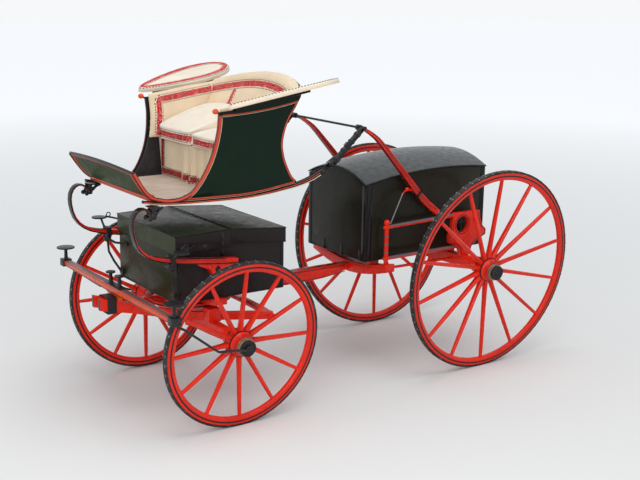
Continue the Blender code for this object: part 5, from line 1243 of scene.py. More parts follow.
def brace(side, at):
    high, low = at_y((HIGH_PIN, LOW_PIN), side * BRACE_Y)
    way = (low - high).normalized()
    normal = Vector((-way.z, 0, way.x))
    reach = (low - high).length
    bm = bmesh.new()
    for centre, start in ((high, pi), (low, 0.0)):
        rings = []
        for turn_at in spaced(start, start + pi, 20):
            out = normal * cos(turn_at) + way * sin(turn_at)
            ring = []
            for y, up in STRAP_EDGE:
                ring.append(centre + out * (LOOP_RADIUS + up * 0.0023) + Vector((0, y * STRAP_HALF, 0)))
            rings.append(ring)
        loft(bm, rings)
    for offset, inset, thick, wide, bow in (
        (LOOP_RADIUS, 0.0, 0.0046, STRAP_HALF, 0.12),
        (-LOOP_RADIUS, 0.0, 0.0046, STRAP_HALF, 0.12),
        (0.0052, 0.024, 0.0046, STRAP_HALF, 0.0),
        (-0.0052, 0.024, 0.0046, STRAP_HALF, 0.0),
        (0.0001, 0.026, 0.0052, 0.0170, 0.0),
    ):
        rings = []
        for t in spaced(0, 1, 16):
            along = inset + (reach - 2 * inset) * t
            centre = high + way * along + normal * (offset * (1 - bow * sin(pi * t)))
            side_way, half = Vector((0, wide, 0)), normal * thick / 2
            rings.append([centre + side_way * y + half * up for y, up in STRAP_EDGE])
        loft(bm, rings)
    made = from_bm(f"brace_straps_{at}", bm, "leather", "gear", 40)
    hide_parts(f"brace_{at}")
    bm = bmesh.new()
    for share, wide, spare in KEEPERS:
        middle = high + way * reach * share
        rings = []
        for y, up in KEEPER_EDGE + KEEPER_EDGE[:1]:
            base = Vector((0, y * (0.0188 + spare), 0)) + normal * up * (0.0140 + spare)
            rise, run = base.normalized(), way * wide
            rings.append([middle + base + rise * out + run * along for along, out in KEEPER_SECTION])
        loft(bm, rings, False)
    bmesh.ops.remove_doubles(bm, verts=bm.verts, dist=0.00001)
    from_bm(f"brace_keepers_{at}", bm, "leather", "gear", 40)
    bm = bmesh.new()
    middle = high + way * reach * 0.47 + normal * 0.0152
    lie = Matrix(((way.x, 0, normal.x), (0, 1, 0), (way.z, 0, normal.z))).to_4x4()
    place = Matrix.Translation(middle) @ lie
    for low_x, high_x, low_y, high_y, low_z, high_z in (
        (-0.015, -0.0105, -0.021, 0.021, -0.002, 0.0025),
        (0.0105, 0.015, -0.021, 0.021, -0.002, 0.0025),
        (-0.015, 0.015, -0.021, -0.0175, -0.002, 0.0025),
        (-0.015, 0.015, 0.0175, 0.021, -0.002, 0.0025),
        (-0.012, 0.014, -0.0014, 0.0014, 0.0005, 0.0034),
    ):
        add_box(bm, (low_x, low_y, low_z), (high_x, high_y, high_z), 0.0009, 2, place)
    from_bm(f"brace_buckle_{at}", bm, "iron", "gear", 40)
    bm = bmesh.new()
    cap = [(0.0001, 0), (0.0125, 0.0), (0.0135, 0.0016), (0.0130, 0.0060), (0.0085, 0.0095), (0.0001, 0.0105)]
    for place in (high, low):
        add_turned(bm, cap, aimed((place.x, side * 0.4416, place.z), (0, side, 0)), 20)
    from_bm(f"pin_caps_{at}", bm, "iron", "gear", 45)


both(brace)


# Dash: dark beads round its edge, red double lines inside it, a broad red moulding across its foot

DASH = in_frame(DASH_LINE, 10)
DASH_HALF_THICK = 0.0078


def dash_place(t, v, out):
    """A point of the dash, t from its foot to its top and v from side to side, and where it faces."""
    spot = t * (len(DASH) - 1)
    index = min(len(DASH) - 2, int(spot))
    way = (DASH[index + 1] - DASH[index]).normalized()
    place = DASH[index].lerp(DASH[index + 1], spot - index)
    place += Vector((way.y, -way.x)) * out + way * 0.020 * t**3 * (1 - v * v)
    return Vector((place.x, v * (0.412 + 0.048 * t), place.y)), Vector((way.y, 0, -way.x))


bm = bmesh.new()
rings = []
for t in spaced(0, 1, 32):
    rings.append([])
    for out, way in ((DASH_HALF_THICK, 1), (-DASH_HALF_THICK, -1)):
        rings[-1] += [dash_place(t, v * way * 0.9985, out)[0] for v in spaced(-1, 1, 24)]
loft(bm, rings)
bevel_sharp(bm, 0.0018, 2)
board = from_bm("dash_board", bm, "dash", "gear", 40)
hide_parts("dash")
for face, label in ((1, "front"), (-1, "rear")):
    out = DASH_HALF_THICK * face
    sides = []
    for v in (0.967, 0.934, -0.967, -0.934):
        sides.append([dash_place(t, v, out) for t in spaced(0.05, 0.98, 24)])
    tops = [[dash_place(0.955, v, out) for v in spaced(-0.966, 0.966, 30)]]
    for name, lines, wide, bend in (("side_lines", sides, 0.0052, 0.0012), ("top_line", tops, 0.0040, 0.0)):
        routes = [([place for place, _way in line], [way * face for _place, way in line]) for line in lines]
        strip(f"dash_{name}_{label}", routes, wide, 0.0008, "moulding", bend=bend)
bm = bmesh.new()
add_box(bm, (1.486, -0.424, 1.4105), (1.525, 0.424, 1.4480), 0.0070, 4)
from_bm("dash_foot_moulding", bm, "moulding", "gear", 50)
fine = [([(1.525, y, z) for y in spaced(-0.418, 0.418, 12)], (1, 0, 0)) for z in (1.4365, 1.4225)]
strip("dash_foot_grooves", fine, 0.0034, 0.0005, "line")
edge = [dash_place(1.0, v, 0.0)[0] for v in spaced(-1, 1, 24)]
bead("dash_top_bead", [edge], 0.0088, sides=12)
for side, at in ((1, "left"), (-1, "right")):
    edge = [dash_place(t, side, 0.0)[0] for t in spaced(0, 1, 24)]
    bead(f"dash_side_bead_{at}", [edge], 0.0070, sides=10)


# The body's moulding swept on from the front edge, under the footboard's side and up beside the dash

SWEPT = [(0.200, 1.428), (0.236, 1.412), (0.275, 1.403), (0.320, 1.399), (0.365, 1.403), (0.402, 1.4120)]
SWEPT += [(0.432, 1.4205), (0.464, 1.4345), (0.500, 1.466), (0.540, 1.519), (0.584, 1.588)]


def swept(side, at):
    route = in_frame(SWEPT, 6)
    shares = [max(0.0, (point.x - FRONT_AXLE - 0.402) / 0.182) for point in route]
    for name, beside, wide, thick, paint, bend in (
        ("moulding", 0.0, 0.0150, 0.0040, "moulding", 0.0030),
        ("line", -0.0105, 0.0050, 0.0030, "line", 0.0),
        ("edge", 0.0095, 0.0040, 0.0030, "line", 0.0),
    ):
        points = []
        for point, share in zip(leftward(route, beside), shares):
            points.append((point.x, side * (0.4115 + 0.0545 * share + 0.010 * (1 - share)), point.y))
        routes = [(points, (0, side, 0))]
        strip(f"swept_{name}_{at}", routes, wide, thick, paint, bend=bend, sink=0.006)


both(swept)


# Fittings by the steps: nuts round the clamp, a ring and bar from the tread to the box, the spring's shackles

def step_fittings(side, at):
    x, y, z = 1.402, ELBOW_Y, 1.030
    bm = bmesh.new()
    for out, up in turns(6, 0.4):
        add_ball(bm, Vector((x + 0.022 * out, side * (y + 0.012), z + 0.022 * up)), 0.0095, sides=12)
    add_ball(bm, Vector((x, side * (y + 0.024), z)), 0.0120, sides=14)
    from_bm(f"clamp_nuts_{at}", bm, "iron", "gear", 60)
    bm = bmesh.new()
    way = [(1.366, 0.560, 1.128), (1.330, 0.530, 1.122), (1.290, 0.480, 1.114)]
    way += [(1.246, 0.437, 1.112), (1.232, 0.412, 1.110)]
    add_tube(bm, smooth_line([(x, side * y, z) for x, y, z in way], 3), 0.0062, 10)
    around = turns(24) + turns(1)
    ring = [Vector((1.352 + 0.014 * out, side * 0.545, 1.142 + 0.014 * up)) for out, up in around]
    add_tube(bm, ring, 0.0038, 8, False)
    add_ball(bm, Vector((1.240, side * 0.426, 1.1105)), 0.0105, sides=14)
    from_bm(f"step_bar_{at}", bm, "iron", "gear", 60)
    # Shackle balls at the spring's head, and the curved arm up to the body
    bm = bmesh.new()
    for x, z, size in ((1.528, 1.334, 0.0165), (1.548, 1.322, 0.0145), (1.512, 1.350, 0.0130)):
        for out in (-0.030, 0.030):
            add_ball(bm, Vector((x, side * (y + out), z)), size, (1, 0.7, 1), 16)
    way = [(1.520, 0.456, 1.330), (1.497, 0.452, 1.340), (1.474, 0.446, 1.362), (1.446, 0.438, 1.373)]
    add_tube(bm, smooth_line([(x, side * y, z) for x, y, z in way], 3), lambda t: 0.0115 - 0.003 * t, 12)
    from_bm(f"shackle_{at}", bm, "iron", "gear", 60)


both(step_fittings)


# Upholstery

LOW = SEAT_TOP + 0.0003
SCENE.frame_start, SCENE.frame_end = 1, 20


def inner_y(z):
    return outer_y(z) - SIDE_THICK


def back_x(y, z):
    """The back panel's front face, in the frame's own X."""
    share = min(1.0, max(0.0, (z - 1.430) / 0.30))
    bulge = 0.100 * share * share * (3 - 2 * share)
    v = min(1.0, abs(y) / inner_y(z))
    return crossed(BACK, z).x + SIDE_THICK - bulge * (1 - v**3)


def stuffed(name, bm, material, node, cap, held, size=0.006, pressure=4.0):
    """A stuffed pad. Its shape is remeshed and blown up as cloth, held at its seams, and no point
    moves beyond cap. held(point) says whether a point is sewn or glued down."""
    bmesh.ops.recalc_face_normals(bm, faces=bm.faces)
    mesh = bpy.data.meshes.new(name)
    bm.to_mesh(mesh)
    bm.free()
    made = bpy.data.objects.new(name, mesh)
    SCENE.collection.objects.link(made)
    remesh = made.modifiers.new("remesh", "REMESH")
    remesh.mode = "VOXEL"
    remesh.voxel_size = size
    shape = bpy.data.meshes.new_from_object(made.evaluated_get(bpy.context.evaluated_depsgraph_get()))
    made.modifiers.clear()
    made.data = shape
    bpy.data.meshes.remove(mesh)
    start = [vert.co.copy() for vert in shape.vertices]
    group = made.vertex_groups.new(name="held")
    group.add([index for index, point in enumerate(start) if held(point)], 1.0, "REPLACE")
    cloth = made.modifiers.new("cloth", "CLOTH")
    cloth.settings.quality = 4
    cloth.settings.use_pressure = True
    cloth.settings.uniform_pressure_force = pressure
    cloth.settings.effector_weights.gravity = 0.0
    cloth.settings.vertex_group_mass = "held"
    cloth.point_cache.frame_start, cloth.point_cache.frame_end = 1, 20
    for step in range(1, 21):
        SCENE.frame_set(step)
    blown = made.evaluated_get(bpy.context.evaluated_depsgraph_get())
    ends = [vert.co.copy() for vert in blown.data.vertices]
    made.modifiers.clear()
    made.vertex_groups.clear()
    SCENE.frame_set(1)
    for vert, first, last in zip(shape.vertices, start, ends):
        moved = last - first
        if moved.length > cap:
            moved *= cap / moved.length
        vert.co = first + moved
    smoother = made.modifiers.new("smooth", "SMOOTH")
    smoother.factor, smoother.iterations = 0.5, 4
    final = bpy.data.meshes.new_from_object(made.evaluated_get(bpy.context.evaluated_depsgraph_get()))
    made.modifiers.clear()
    made.data = final
    bpy.data.meshes.remove(shape)
    final.name = name
    final.materials.clear()
    final.materials.append(M[material])
    for polygon in final.polygons:
        polygon.use_smooth = True
    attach(made, "gear")
    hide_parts(node)
    return made


def on_pad(pad, points, way):
    """Drops points onto a pad's surface along a direction. Returns the places and the normals there."""
    way = Vector(way).normalized()
    places, normals = [], []
    for point in points:
        hit, place, normal, _face = pad.ray_cast(Vector(point) - way * 0.15, way, distance=0.4)
        if hit:
            places.append(place.copy())
            normals.append(normal.copy())
    return places, normals


LANES = [-0.5, -0.46, -0.3, -0.1, 0.1, 0.3, 0.46, 0.5]
LACE_LIFT, LACE_THICK = 0.0004, 0.0022


def lace_on(name, pad, routes, way, width, looped=False, spread=None):
    """Lace sewn on a pad along routes: it follows the pad's surface, also across its width.
    spread(index, lane) places its lanes where they don't just lie beside the route."""
    bm = bmesh.new()
    layer_at = {}
    for route in routes:
        points = [Vector(point) for point in route]
        count = len(points)
        rows = []
        travelled = 0.0
        facing = Vector(way).normalized() * -1
        for index, point in enumerate(points):
            before = points[(index - 1) % count] if looped else points[max(index - 1, 0)]
            after = points[(index + 1) % count] if looped else points[min(index + 1, count - 1)]
            side = facing.cross(after - before).normalized()
            if index:
                travelled += (point - points[index - 1]).length
            wanted = [spread(index, lane) if spread else point + side * lane * width for lane in LANES]
            places, normals = on_pad(pad, wanted, way)
            if len(places) < len(LANES):
                continue
            row = []
            for lane, place, normal in zip(LANES, places, normals):
                high = LACE_LIFT + (LACE_THICK if abs(lane) < 0.48 else 0.0)
                out = (normal * 0.3 + facing * 0.7).normalized()
                row.append((place + out * high, (travelled, lane + 0.5)))
            # Its two lower corners sink into the pad
            for place, across_at in ((places[-1], 1.0), (places[0], 0.0)):
                row.append((place - facing * 0.002, (travelled, across_at)))
            rows.append(row)
        made = []
        for row in rows:
            ring = []
            for place, at in row:
                vert = bm.verts.new(place)
                layer_at[vert] = at
                ring.append(vert)
            made.append(ring)
        pairs = list(zip(made, made[1:]))
        if looped:
            pairs.append((made[-1], made[0]))
        for low, high in pairs:
            round_faces(bm, low, high)
        if not looped and made:
            bm.faces.new(made[0][::-1])
            bm.faces.new(made[-1])
    bmesh.ops.recalc_face_normals(bm, faces=bm.faces)
    layer = bm.loops.layers.uv.new("along")
    for polygon in bm.faces:
        for loop in polygon.loops:
            loop[layer].uv = layer_at[loop.vert]
    made = from_bm(name, bm, "lace", "gear", 50.0, facing=False)
    return made


# The squab: a broad pad below a seam that follows the arch, and a roll above it

SQUAB_GAP, SQUAB_THICK = 0.006, 0.045
SEAM_DROP = 0.062
PANEL_SEAM = 0.285


def squab_top(y):
    v = min(1.0, abs(y) / inner_y(1.98))
    return 2.020 + 0.072 * (1 - v * v)


def squab_shape():
    def place(u, v, w):
        share = (w + 1) / 2
        high = 2.020 + 0.072 * (1 - v * v)
        z = LOW + share * (high - LOW)
        y = v * (inner_y(z) - 0.003)
        back = back_x(y, z) + SQUAB_GAP
        seam = (high - SEAM_DROP - LOW) / (high - LOW)
        if share > seam:
            t = (share - seam) / (1 - seam)
            full = 0.030 + 0.024 * max(0.0, 1 - (2 * t - 1) ** 4) ** 0.5
        else:
            t = share / seam
            full = 0.034 + 0.012 * (1 - abs(2 * t - 1) ** 5)
        full *= 1 - 0.12 * abs(v) ** 24
        if u < 0:
            return (back, y, z)
        round_top = 0.012 * max(0.0, (share - 0.96) / 0.04)
        return (back + full - round_top * 2, y, z)

    return block_grid((2, 40, 30), place)


def squab_held(point):
    y, z = point.y, point.z
    if z < LOW + 0.012 or abs(y) > inner_y(z) - 0.012:
        return True
    if point.x < back_x(y, z) + SQUAB_GAP + 0.012:
        return True
    near_seam = abs(z - (squab_top(y) - SEAM_DROP)) < 0.020
    near_strip = abs(abs(y) - PANEL_SEAM) < 0.014 and z < squab_top(y) - SEAM_DROP
    return near_seam or near_strip


squab = stuffed("squab_pad", squab_shape(), "cloth", "squab", 0.010, squab_held, pressure=5.0)
arch = []
for y in spaced(-0.462, 0.462, 56):
    z = squab_top(y) - SEAM_DROP - 0.016
    arch.append((back_x(y, z) + 0.05, y, z))
lace_on("squab_lace", squab, [arch], (-1, 0, 0), 0.058)
uprights = []
for y in (-PANEL_SEAM, PANEL_SEAM):
    top = squab_top(y) - SEAM_DROP - 0.046
    uprights.append([(back_x(y, 1.7) + 0.05, y, z) for z in spaced(LOW + 0.02, top, 24)])
lace_on("squab_uprights", squab, uprights, (-1, 0, 0), 0.038)


# The side linings: a flat quilted panel with a sewn border

def lining_top(share):
    return 2.003 + (1.935 - 2.003) * share


def lining_ends(z):
    wall = inner_y(z)
    return back_x(wall, z) + SQUAB_GAP + 0.024, crossed(FRONT, min(z, 1.913)).x - SIDE_THICK


def side_lining(side, at):
    def place(u, v, w):
        share = (u + 1) / 2
        top = lining_top(share)
        z = LOW + (w + 1) / 2 * (top - LOW)
        rear, front = lining_ends(z)
        wall = inner_y(z) - 0.0006
        edge = max(abs(u), abs(w))
        swell = 0.005 * (1 - u * u) * (1 - w * w) - 0.008 * max(0.0, (edge - 0.93) / 0.07) ** 2
        return (rear + share * (front - rear), side * (wall if v > 0 else wall - 0.026 - swell), z)

    def held(point):
        z = point.z
        rear, front = lining_ends(z)
        share = (point.x - rear) / (front - rear)
        if abs(point.y) > inner_y(z) - 0.016 or z < LOW + 0.012 or point.x < rear + 0.012:
            return True
        from_top, from_front = lining_top(share) - z, front - point.x
        if from_top < 0.008 or from_front < 0.010:
            return True
        # Sewn down under the lace
        under_top = 0.018 < from_top < 0.076 and from_front > 0.030
        return under_top or (0.030 < from_front < 0.086 and from_top > 0.018)

    panel = block_grid((24, 2, 24), place)
    pad = stuffed(f"lining_pad_{at}", panel, "cloth", f"side_lining_{at}", 0.009, held)
    # The lace goes up the front, round a corner and back along the top
    corner = 0.030
    route = [(lining_ends(z)[1] - 0.058, z) for z in spaced(LOW + 0.006, 1.890, 29)]
    x_front = route[-1][0]
    rear = lining_ends(1.95)[0]
    top_line = []
    for x in spaced(x_front - corner, rear + 0.006, 29):
        share = (x - rear) / (lining_ends(1.93)[1] - rear)
        top_line.append((x, lining_top(share) - 0.047))
    z_high = top_line[0][1]
    route = [point for point in route if point[1] < z_high - corner]
    for step in range(1, 6):
        turn_at = pi / 2 * step / 6
        route.append((x_front - corner * (1 - cos(turn_at)), z_high - corner * (1 - sin(turn_at))))
    route += top_line
    points = [(x, side * (inner_y(z) - 0.03), z) for x, z in route]
    lace_on(f"lining_lace_{at}", pad, [points], (0, side, 0), 0.058)


both(side_lining)


# The cushions: the driver's wedge on the right, the passenger's on the left, lower

def lining_face(z):
    return inner_y(z) - 0.035


def cushion(name, node, right_edge, left_edge, front_top, rear_top):
    def top_at(share):
        return rear_top + (front_top - rear_top) * share**1.2

    def place(u, v, w):
        share = (u + 1) / 2
        top = top_at(share)
        draw = 0.008 * (1 - w * w) + 0.006
        z = LOW + (w + 1) / 2 * (top - LOW - 0.006)
        low_y, high_y = right_edge(z), left_edge(z)
        y = (low_y + high_y) / 2 + v * ((high_y - low_y) / 2 - draw)
        rear = back_x(y, z) + SQUAB_GAP + SQUAB_THICK + 0.020 + draw
        front = FRONT_AXLE + 0.010 - draw
        x = rear + share * (front - rear)
        corner = max(0.0, abs(u) ** 8 * abs(v) ** 8)
        x -= 0.014 * corner * (1 if u > 0 else -1)
        y -= 0.014 * corner * (1 if v > 0 else -1)
        if w > 0:
            z += 0.016 * w * (1 - u**4) * (1 - v**4)
        return (x, y, z)

    def held(point):
        front = FRONT_AXLE + 0.010
        share = min(1.0, max(0.0, (point.x - 0.62) / (front - 0.62)))
        if point.z < LOW + 0.010:
            return True
        at_side = point.y > left_edge(point.z) - 0.022 or point.y < right_edge(point.z) + 0.022
        upper_seam = abs(point.z - top_at(share) + 0.004) < 0.009
        lower_seam = abs(point.z - LOW - 0.016) < 0.007
        return (at_side or point.x > front - 0.024) and (upper_seam or lower_seam)

    pad = stuffed(name, block_grid((26, 30, 10), place), "pad", node, 0.024, held, pressure=6.0)
    middle = (right_edge(1.70) + left_edge(1.70)) / 2
    half = (left_edge(1.70) - right_edge(1.70)) / 2
    band = (front_top + LOW) / 2 - 0.004
    route = [(FRONT_AXLE, middle + v * (half - 0.020), band) for v in spaced(-1, 1, 40)]
    lace_on(f"{name}_lace", pad, [route], (-1, 0, 0), 0.056)


cushion("driver_pad", "driver_cushion", lambda z: -lining_face(z), lambda z: 0.035, 1.742, 1.868)
cushion("passenger_pad", "passenger_cushion", lambda z: 0.037, lining_face, 1.736, 1.790)


# The wings: padded boards with a lace border and a pale face

WING_CENTRE = Vector((FRONT_AXLE - 0.324, 0.634, 2.007))
SPLAY, RISE, TILT = radians(6.1), radians(10.7), radians(12.6)
WING_LENGTH, WING_WIDTH, WING_EGG = 0.369, 0.131, 0.34
# From its underside round the rim to its face, as (share of the reach, height)
WING_PROFILE = [(0.15, 0.0), (0.5, 0.0), (0.80, 0.0), (0.975, 0.0), (0.992, 0.004), (0.996, 0.013)]
WING_PROFILE += [(0.992, 0.0225), (0.98, 0.0265), (0.94, 0.0280), (0.80, 0.0285), (0.66, 0.0270)]
WING_PROFILE += [(0.55, 0.0290), (0.30, 0.0310), (0.10, 0.0315)]
WING_LACE = 0.054


def wing(side, at):
    rear = Vector((-cos(RISE) * cos(SPLAY), cos(RISE) * sin(SPLAY), sin(RISE)))
    out = Vector((0, cos(TILT), sin(TILT)))
    out = (out - rear * out.dot(rear)).normalized()
    up = out.cross(rear).normalized()
    flipped = Vector((1, side, 1))

    def at_wing(along, across_at, height):
        wide = WING_WIDTH * (1 + WING_EGG * along)
        point = WING_CENTRE + rear * along * WING_LENGTH + out * across_at * wide + up * height
        return point * flipped

    bm = bmesh.new()
    rings = []
    for reach, height in WING_PROFILE:
        rings.append([at_wing(reach * cos_at, reach * sin_at, height) for cos_at, sin_at in turns(72)])
    loft(bm, rings)

    def parts(point):
        point = point * flipped - WING_CENTRE
        along = point.dot(rear) / WING_LENGTH
        return along, point.dot(out) / (WING_WIDTH * (1 + WING_EGG * along)), point.dot(up)

    def held(point):
        along, across_at, height = parts(point)
        reach = hypot(along, across_at)
        if height < 0.006:
            return True
        return abs(reach - 0.66) < 0.04 or abs(reach - 0.96) < 0.035

    pad = stuffed(f"wing_pad_{at}", bm, "pad", f"wing_{at}", 0.008, held, size=0.005)

    def inset(along, across_at, inward):
        wide = WING_WIDTH * (1 + WING_EGG * along)
        return at_wing(along * (1 - inward / WING_LENGTH), across_at * (1 - inward / wide), 0.03)

    # The lace's middle keeps the same distance from the rim all the way round
    around = turns(96)
    middle = [inset(*way, 0.0320) for way in around]

    def spread(index, lane):
        return inset(*around[index], 0.0320 + lane * WING_LACE * side)

    lace_on(f"wing_lace_{at}", pad, [middle], -(up * flipped), WING_LACE, looped=True, spread=spread)
    bm = bmesh.new()
    seam = [at_wing(0.992 * cos_at, 0.992 * sin_at, 0.0015) for cos_at, sin_at in around + turns(1)]
    add_tube(bm, seam, 0.0032, 8, False)
    from_bm(f"wing_piping_{at}", bm, "cloth", "gear", 70)
    # The black board below, let into the side
    bm = bmesh.new()
    rings = []
    for t in spaced(0, 1, 32):
        along = -0.300 + 0.500 * t
        centre = WING_CENTRE + rear * along - up * 0.0003
        off = centre.y - (outer_y(centre.z) - 0.009)
        inner = centre - out * off / (out.y - SIDE_FLARE * out.z)
        outer = centre - out * (0.028 + 0.030 * (2 * t - 1) ** 4)
        section = [(inner, 0.0), (outer, 0.0), (outer + out * 0.002, 0.004), (outer, 0.0145)]
        section += [(outer - out * 0.004, 0.016), (inner, 0.016)]
        rings.append([(point - up * drop) * flipped for point, drop in section])
    loft(bm, rings)
    from_bm(f"arm_board_{at}", bm, "black", "gear", 40)


both(wing)


# The seat fall: flat at the driver's side, box-pleated on the passenger's, laced on its edge and foot

PLEATS = (-0.055, 0.045, 0.145, 0.245, 0.345)
SEAT_FRONT = FRONT_AXLE - 0.030
FALL_X = SEAT_FRONT + 0.0035
FALL_LOW, FALL_HIGH = FLOOR_TOP + 0.0075, SEAT_TOP - 0.0006


def fall_depth(y, share):
    """How far the cloth stands out at y, where share goes from 0 at the seat to 1 at the floor."""
    out = 0.0060 + 0.007 * share + 0.0022 * sin(y * 23.0 + 1.0) * share
    for fold in PLEATS:
        off = abs(y - fold)
        if off < 0.036:
            lip = 0.0170 * (1 - ((off - 0.006) / 0.030) ** 2) if off > 0.006 else 0.0
            slit = -0.012 * (1 - off / 0.006) if off < 0.006 else 0.0
            out += (0.55 + 0.65 * share) * (lip + slit)
    return max(out, 0.0012)


def fall_half(z):
    return inner_y(z) - 0.010


fronts, backs = [], []
for share in spaced(0, 1, 18):
    z = FALL_HIGH + (FALL_LOW - FALL_HIGH) * share
    line = [(FALL_X + fall_depth(y, share), y, z) for y in spaced(-fall_half(z), fall_half(z), 420)]
    backs.append([(x - 0.0022, y, z) for x, y, z in line])
    # The front face is turned in a little at both sides
    for end in (0, -1):
        line[end] = (line[end][0] - 0.001, *line[end][1:])
    fronts.append(line)
bm = bmesh.new()
foot = slab(bm, fronts, backs)[0][-1]
flat_width = sum((second.co - first.co).length for first, second in zip(foot, foot[1:]))
fall = from_bm("seat_fall_cloth", bm, "shade_cloth", "gear", 80)
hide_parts("seat_fall")


def fall_point(y, z, lift):
    share = (FALL_HIGH - z) / (FALL_HIGH - FALL_LOW)
    return Vector((FALL_X + fall_depth(y, share) + lift, y, z))


def fall_lace(name, low, high, left, right, steps_z, steps_y, along_y):
    """Lace that lies on the fall between two heights and two sides, also down into the folds."""
    bm = bmesh.new()
    rows = []
    for z in spaced(high, low, steps_z):
        edge = fall_half(z)
        line = [fall_point(max(-edge, min(edge, y)), z, 0.0011) for y in spaced(left, right, steps_y)]
        rows.append([bm.verts.new(point) for point in line])
    grid_faces(bm, rows)
    bmesh.ops.solidify(bm, geom=bm.faces[:] + bm.edges[:] + bm.verts[:], thickness=0.0009)
    bmesh.ops.recalc_face_normals(bm, faces=bm.faces)
    layer = bm.loops.layers.uv.new("along")
    for polygon in bm.faces:
        for loop in polygon.loops:
            y, z = loop.vert.co.y, loop.vert.co.z
            across_at = (z - low) / (high - low) if along_y else (y - left) / (right - left)
            loop[layer].uv = (y * 1.12 if along_y else z, max(0.0, min(1.0, across_at)))
    return from_bm(name, bm, "lace", "gear", 80, facing=False)


half = fall_half(FALL_LOW)
laces = [
    fall_lace("fall_lace_foot", FALL_LOW + 0.004, FALL_LOW + 0.058, -0.999 * half, half, 8, 300, True),
    fall_lace("fall_lace_edge", FALL_LOW + 0.058, FALL_HIGH - 0.004, -0.392, -0.340, 24, 8, False),
]


# Black leather kick panels beside the feet, with a bead along the floor, and the carpet

def kick_panel(side, at):
    rear_x = SEAT_FRONT + 0.0012
    faces, backs = [], []
    for row, z in enumerate(spaced(FLOOR_TOP + 0.0005, SEAT_TOP + 0.0065, 24)):
        line = []
        for t in spaced(0, 1, 20):
            x = rear_x + (crossed(FRONT, z).x - 0.012 - rear_x) * t
            puff = 0.0038 * (1 - (2 * t - 1) ** 6) * (1 - (2 * row / 24 - 1) ** 6)
            wave = 0.0009 * noise.noise(Vector((t * 5.0, row * 0.22, 7.0 * side)))
            line.append((x, side * (inner_y(z) - 0.0020 - puff - wave), z))
        faces.append(line)
        backs.append([(x, side * (inner_y(z) + 0.0006), z) for x, _y, z in line])
    bm = bmesh.new()
    slab(bm, faces, backs)
    panel = from_bm(f"kick_panel_{at}", bm, "kick", "gear", 50)
    bm = bmesh.new()
    y = side * (inner_y(FLOOR_TOP) - 0.0085)
    way = [Vector((x, y, FLOOR_TOP + 0.0105)) for x in spaced(rear_x + 0.014, FRONT_AXLE + 0.225, 12)]
    add_tube(bm, way, 0.0048, 10)
    from_bm(f"kick_bead_{at}", bm, "kick", "gear", 60)


both(kick_panel)

low, top = [], []
half = inner_y(FLOOR_TOP) - 0.006
for row, x in enumerate(spaced(SEAT_FRONT + 0.004, FRONT_AXLE + 0.372, 30)):
    low.append([(x, y, FLOOR_TOP + 0.0003) for y in spaced(-half, half, 40)])
    line = []
    for step, (x, y, _z) in enumerate(low[-1]):
        puff = 0.0062 if min(row, 30 - row, step, 40 - step) else 0.0035
        ripple = 0.0008 * noise.noise(Vector((x * 9.0, y * 9.0, 3.0)))
        line.append((x, y, FLOOR_TOP + (puff + ripple)))
    top.append(line)
bm = bmesh.new()
slab(bm, low, top)
rug = from_bm("footboard_carpet", bm, "carpet", "gear", 60)


# Finishes of the carriage's own solids

dress("iron", "cross_stay")
dress("black", "floor_board")
dress("green", "back_panel", "seat_frame")


# Stage and light

bm = bmesh.new()
bmesh.ops.create_grid(bm, x_segments=1, y_segments=1, size=60.0)
mesh = bpy.data.meshes.new("floor")
bm.to_mesh(mesh)
bm.free()
floor = bpy.data.objects.new("floor", mesh)
SCENE.collection.objects.link(floor)
ground = Paint("floor_white")
spot = ground.node("ShaderNodeSeparateXYZ", Vector=ground.places).outputs
squares = [ground.maths("POWER", spot[axis], 2.0) for axis in (0, 1)]
far = ground.maths("SQRT", ground.maths("ADD", *squares))
glow = ground.ramp(far, 2.5, 16.0, 0.0, 0.42)
ground.put(Base_Color=(0.80, 0.80, 0.79), Roughness=0.9, Specular_IOR_Level=0.1)
mesh.materials.append(ground.put(Emission_Color=(0.94, 0.96, 1.0), Emission_Strength=glow))

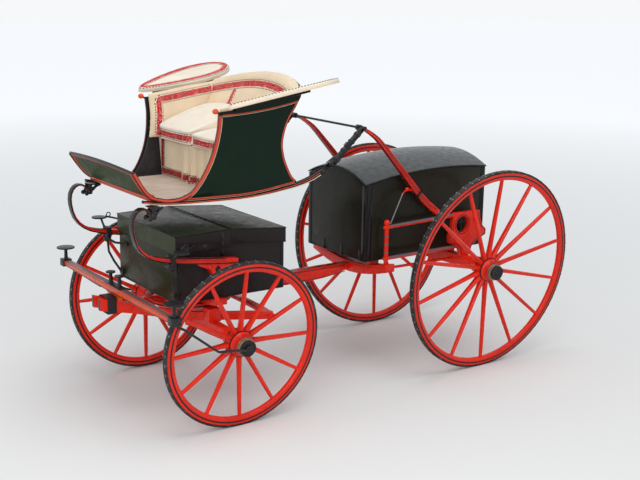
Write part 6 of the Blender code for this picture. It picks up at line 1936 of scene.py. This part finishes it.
world = bpy.data.worlds.new("studio")
SCENE.world = world
world.use_nodes = True
tree = world.node_tree
plain = tree.nodes["Background"]
plain.inputs["Color"].default_value = (0.92, 0.96, 1.0, 1.0)
# Bright overhead and dark at the horizon, as under an open sky among trees
sky_way = tree.nodes.new("ShaderNodeTexCoord")
sky_part = tree.nodes.new("ShaderNodeSeparateXYZ")
sky_ramp = tree.nodes.new("ShaderNodeMapRange")
for socket, value in zip(("From Min", "From Max", "To Min", "To Max"), (-0.05, 0.80, 0.10, 0.85)):
    sky_ramp.inputs[socket].default_value = value
tree.links.new(sky_way.outputs["Generated"], sky_part.inputs[0])
tree.links.new(sky_part.outputs[2], sky_ramp.inputs["Value"])
tree.links.new(sky_ramp.outputs[0], plain.inputs["Strength"])
white = tree.nodes.new("ShaderNodeBackground")
white.inputs["Color"].default_value = (0.93, 0.94, 0.95, 1.0)
white.inputs["Strength"].default_value = 1.0
path = tree.nodes.new("ShaderNodeLightPath")
shown = path.outputs["Is Camera Ray"]
for kind in ("Is Transmission Ray", "Is Glossy Ray"):
    either = tree.nodes.new("ShaderNodeMath")
    either.operation = "MAXIMUM"
    tree.links.new(shown, either.inputs[0])
    tree.links.new(path.outputs[kind], either.inputs[1])
    shown = either.outputs[0]
blend = tree.nodes.new("ShaderNodeMixShader")
tree.links.new(shown, blend.inputs[0])
tree.links.new(plain.outputs[0], blend.inputs[1])
tree.links.new(white.outputs[0], blend.inputs[2])
tree.links.new(blend.outputs[0], tree.nodes["World Output"].inputs[0])


def lamp(name, place, target, size, power, colour):
    made = bpy.data.objects.new(name, bpy.data.lights.new(name, "AREA"))
    made.data.shape = "DISK"
    made.data.size = size
    made.data.energy = power
    made.data.color = colour
    way = Vector(target) - Vector(place)
    made.matrix_world = Matrix.Translation(Vector(place)) @ way.to_track_quat("-Z", "Y").to_matrix().to_4x4()
    SCENE.collection.objects.link(made)


lamp("sky", (0.9, 2.2, 10.5), (0.0, 0.0, 0.8), 7.0, 330.0, (1.0, 0.99, 0.97))
lamp("front_left", (5.5, 5.6, 4.2), (0.2, 0.0, 1.0), 3.5, 170.0, (1.0, 0.98, 0.95))
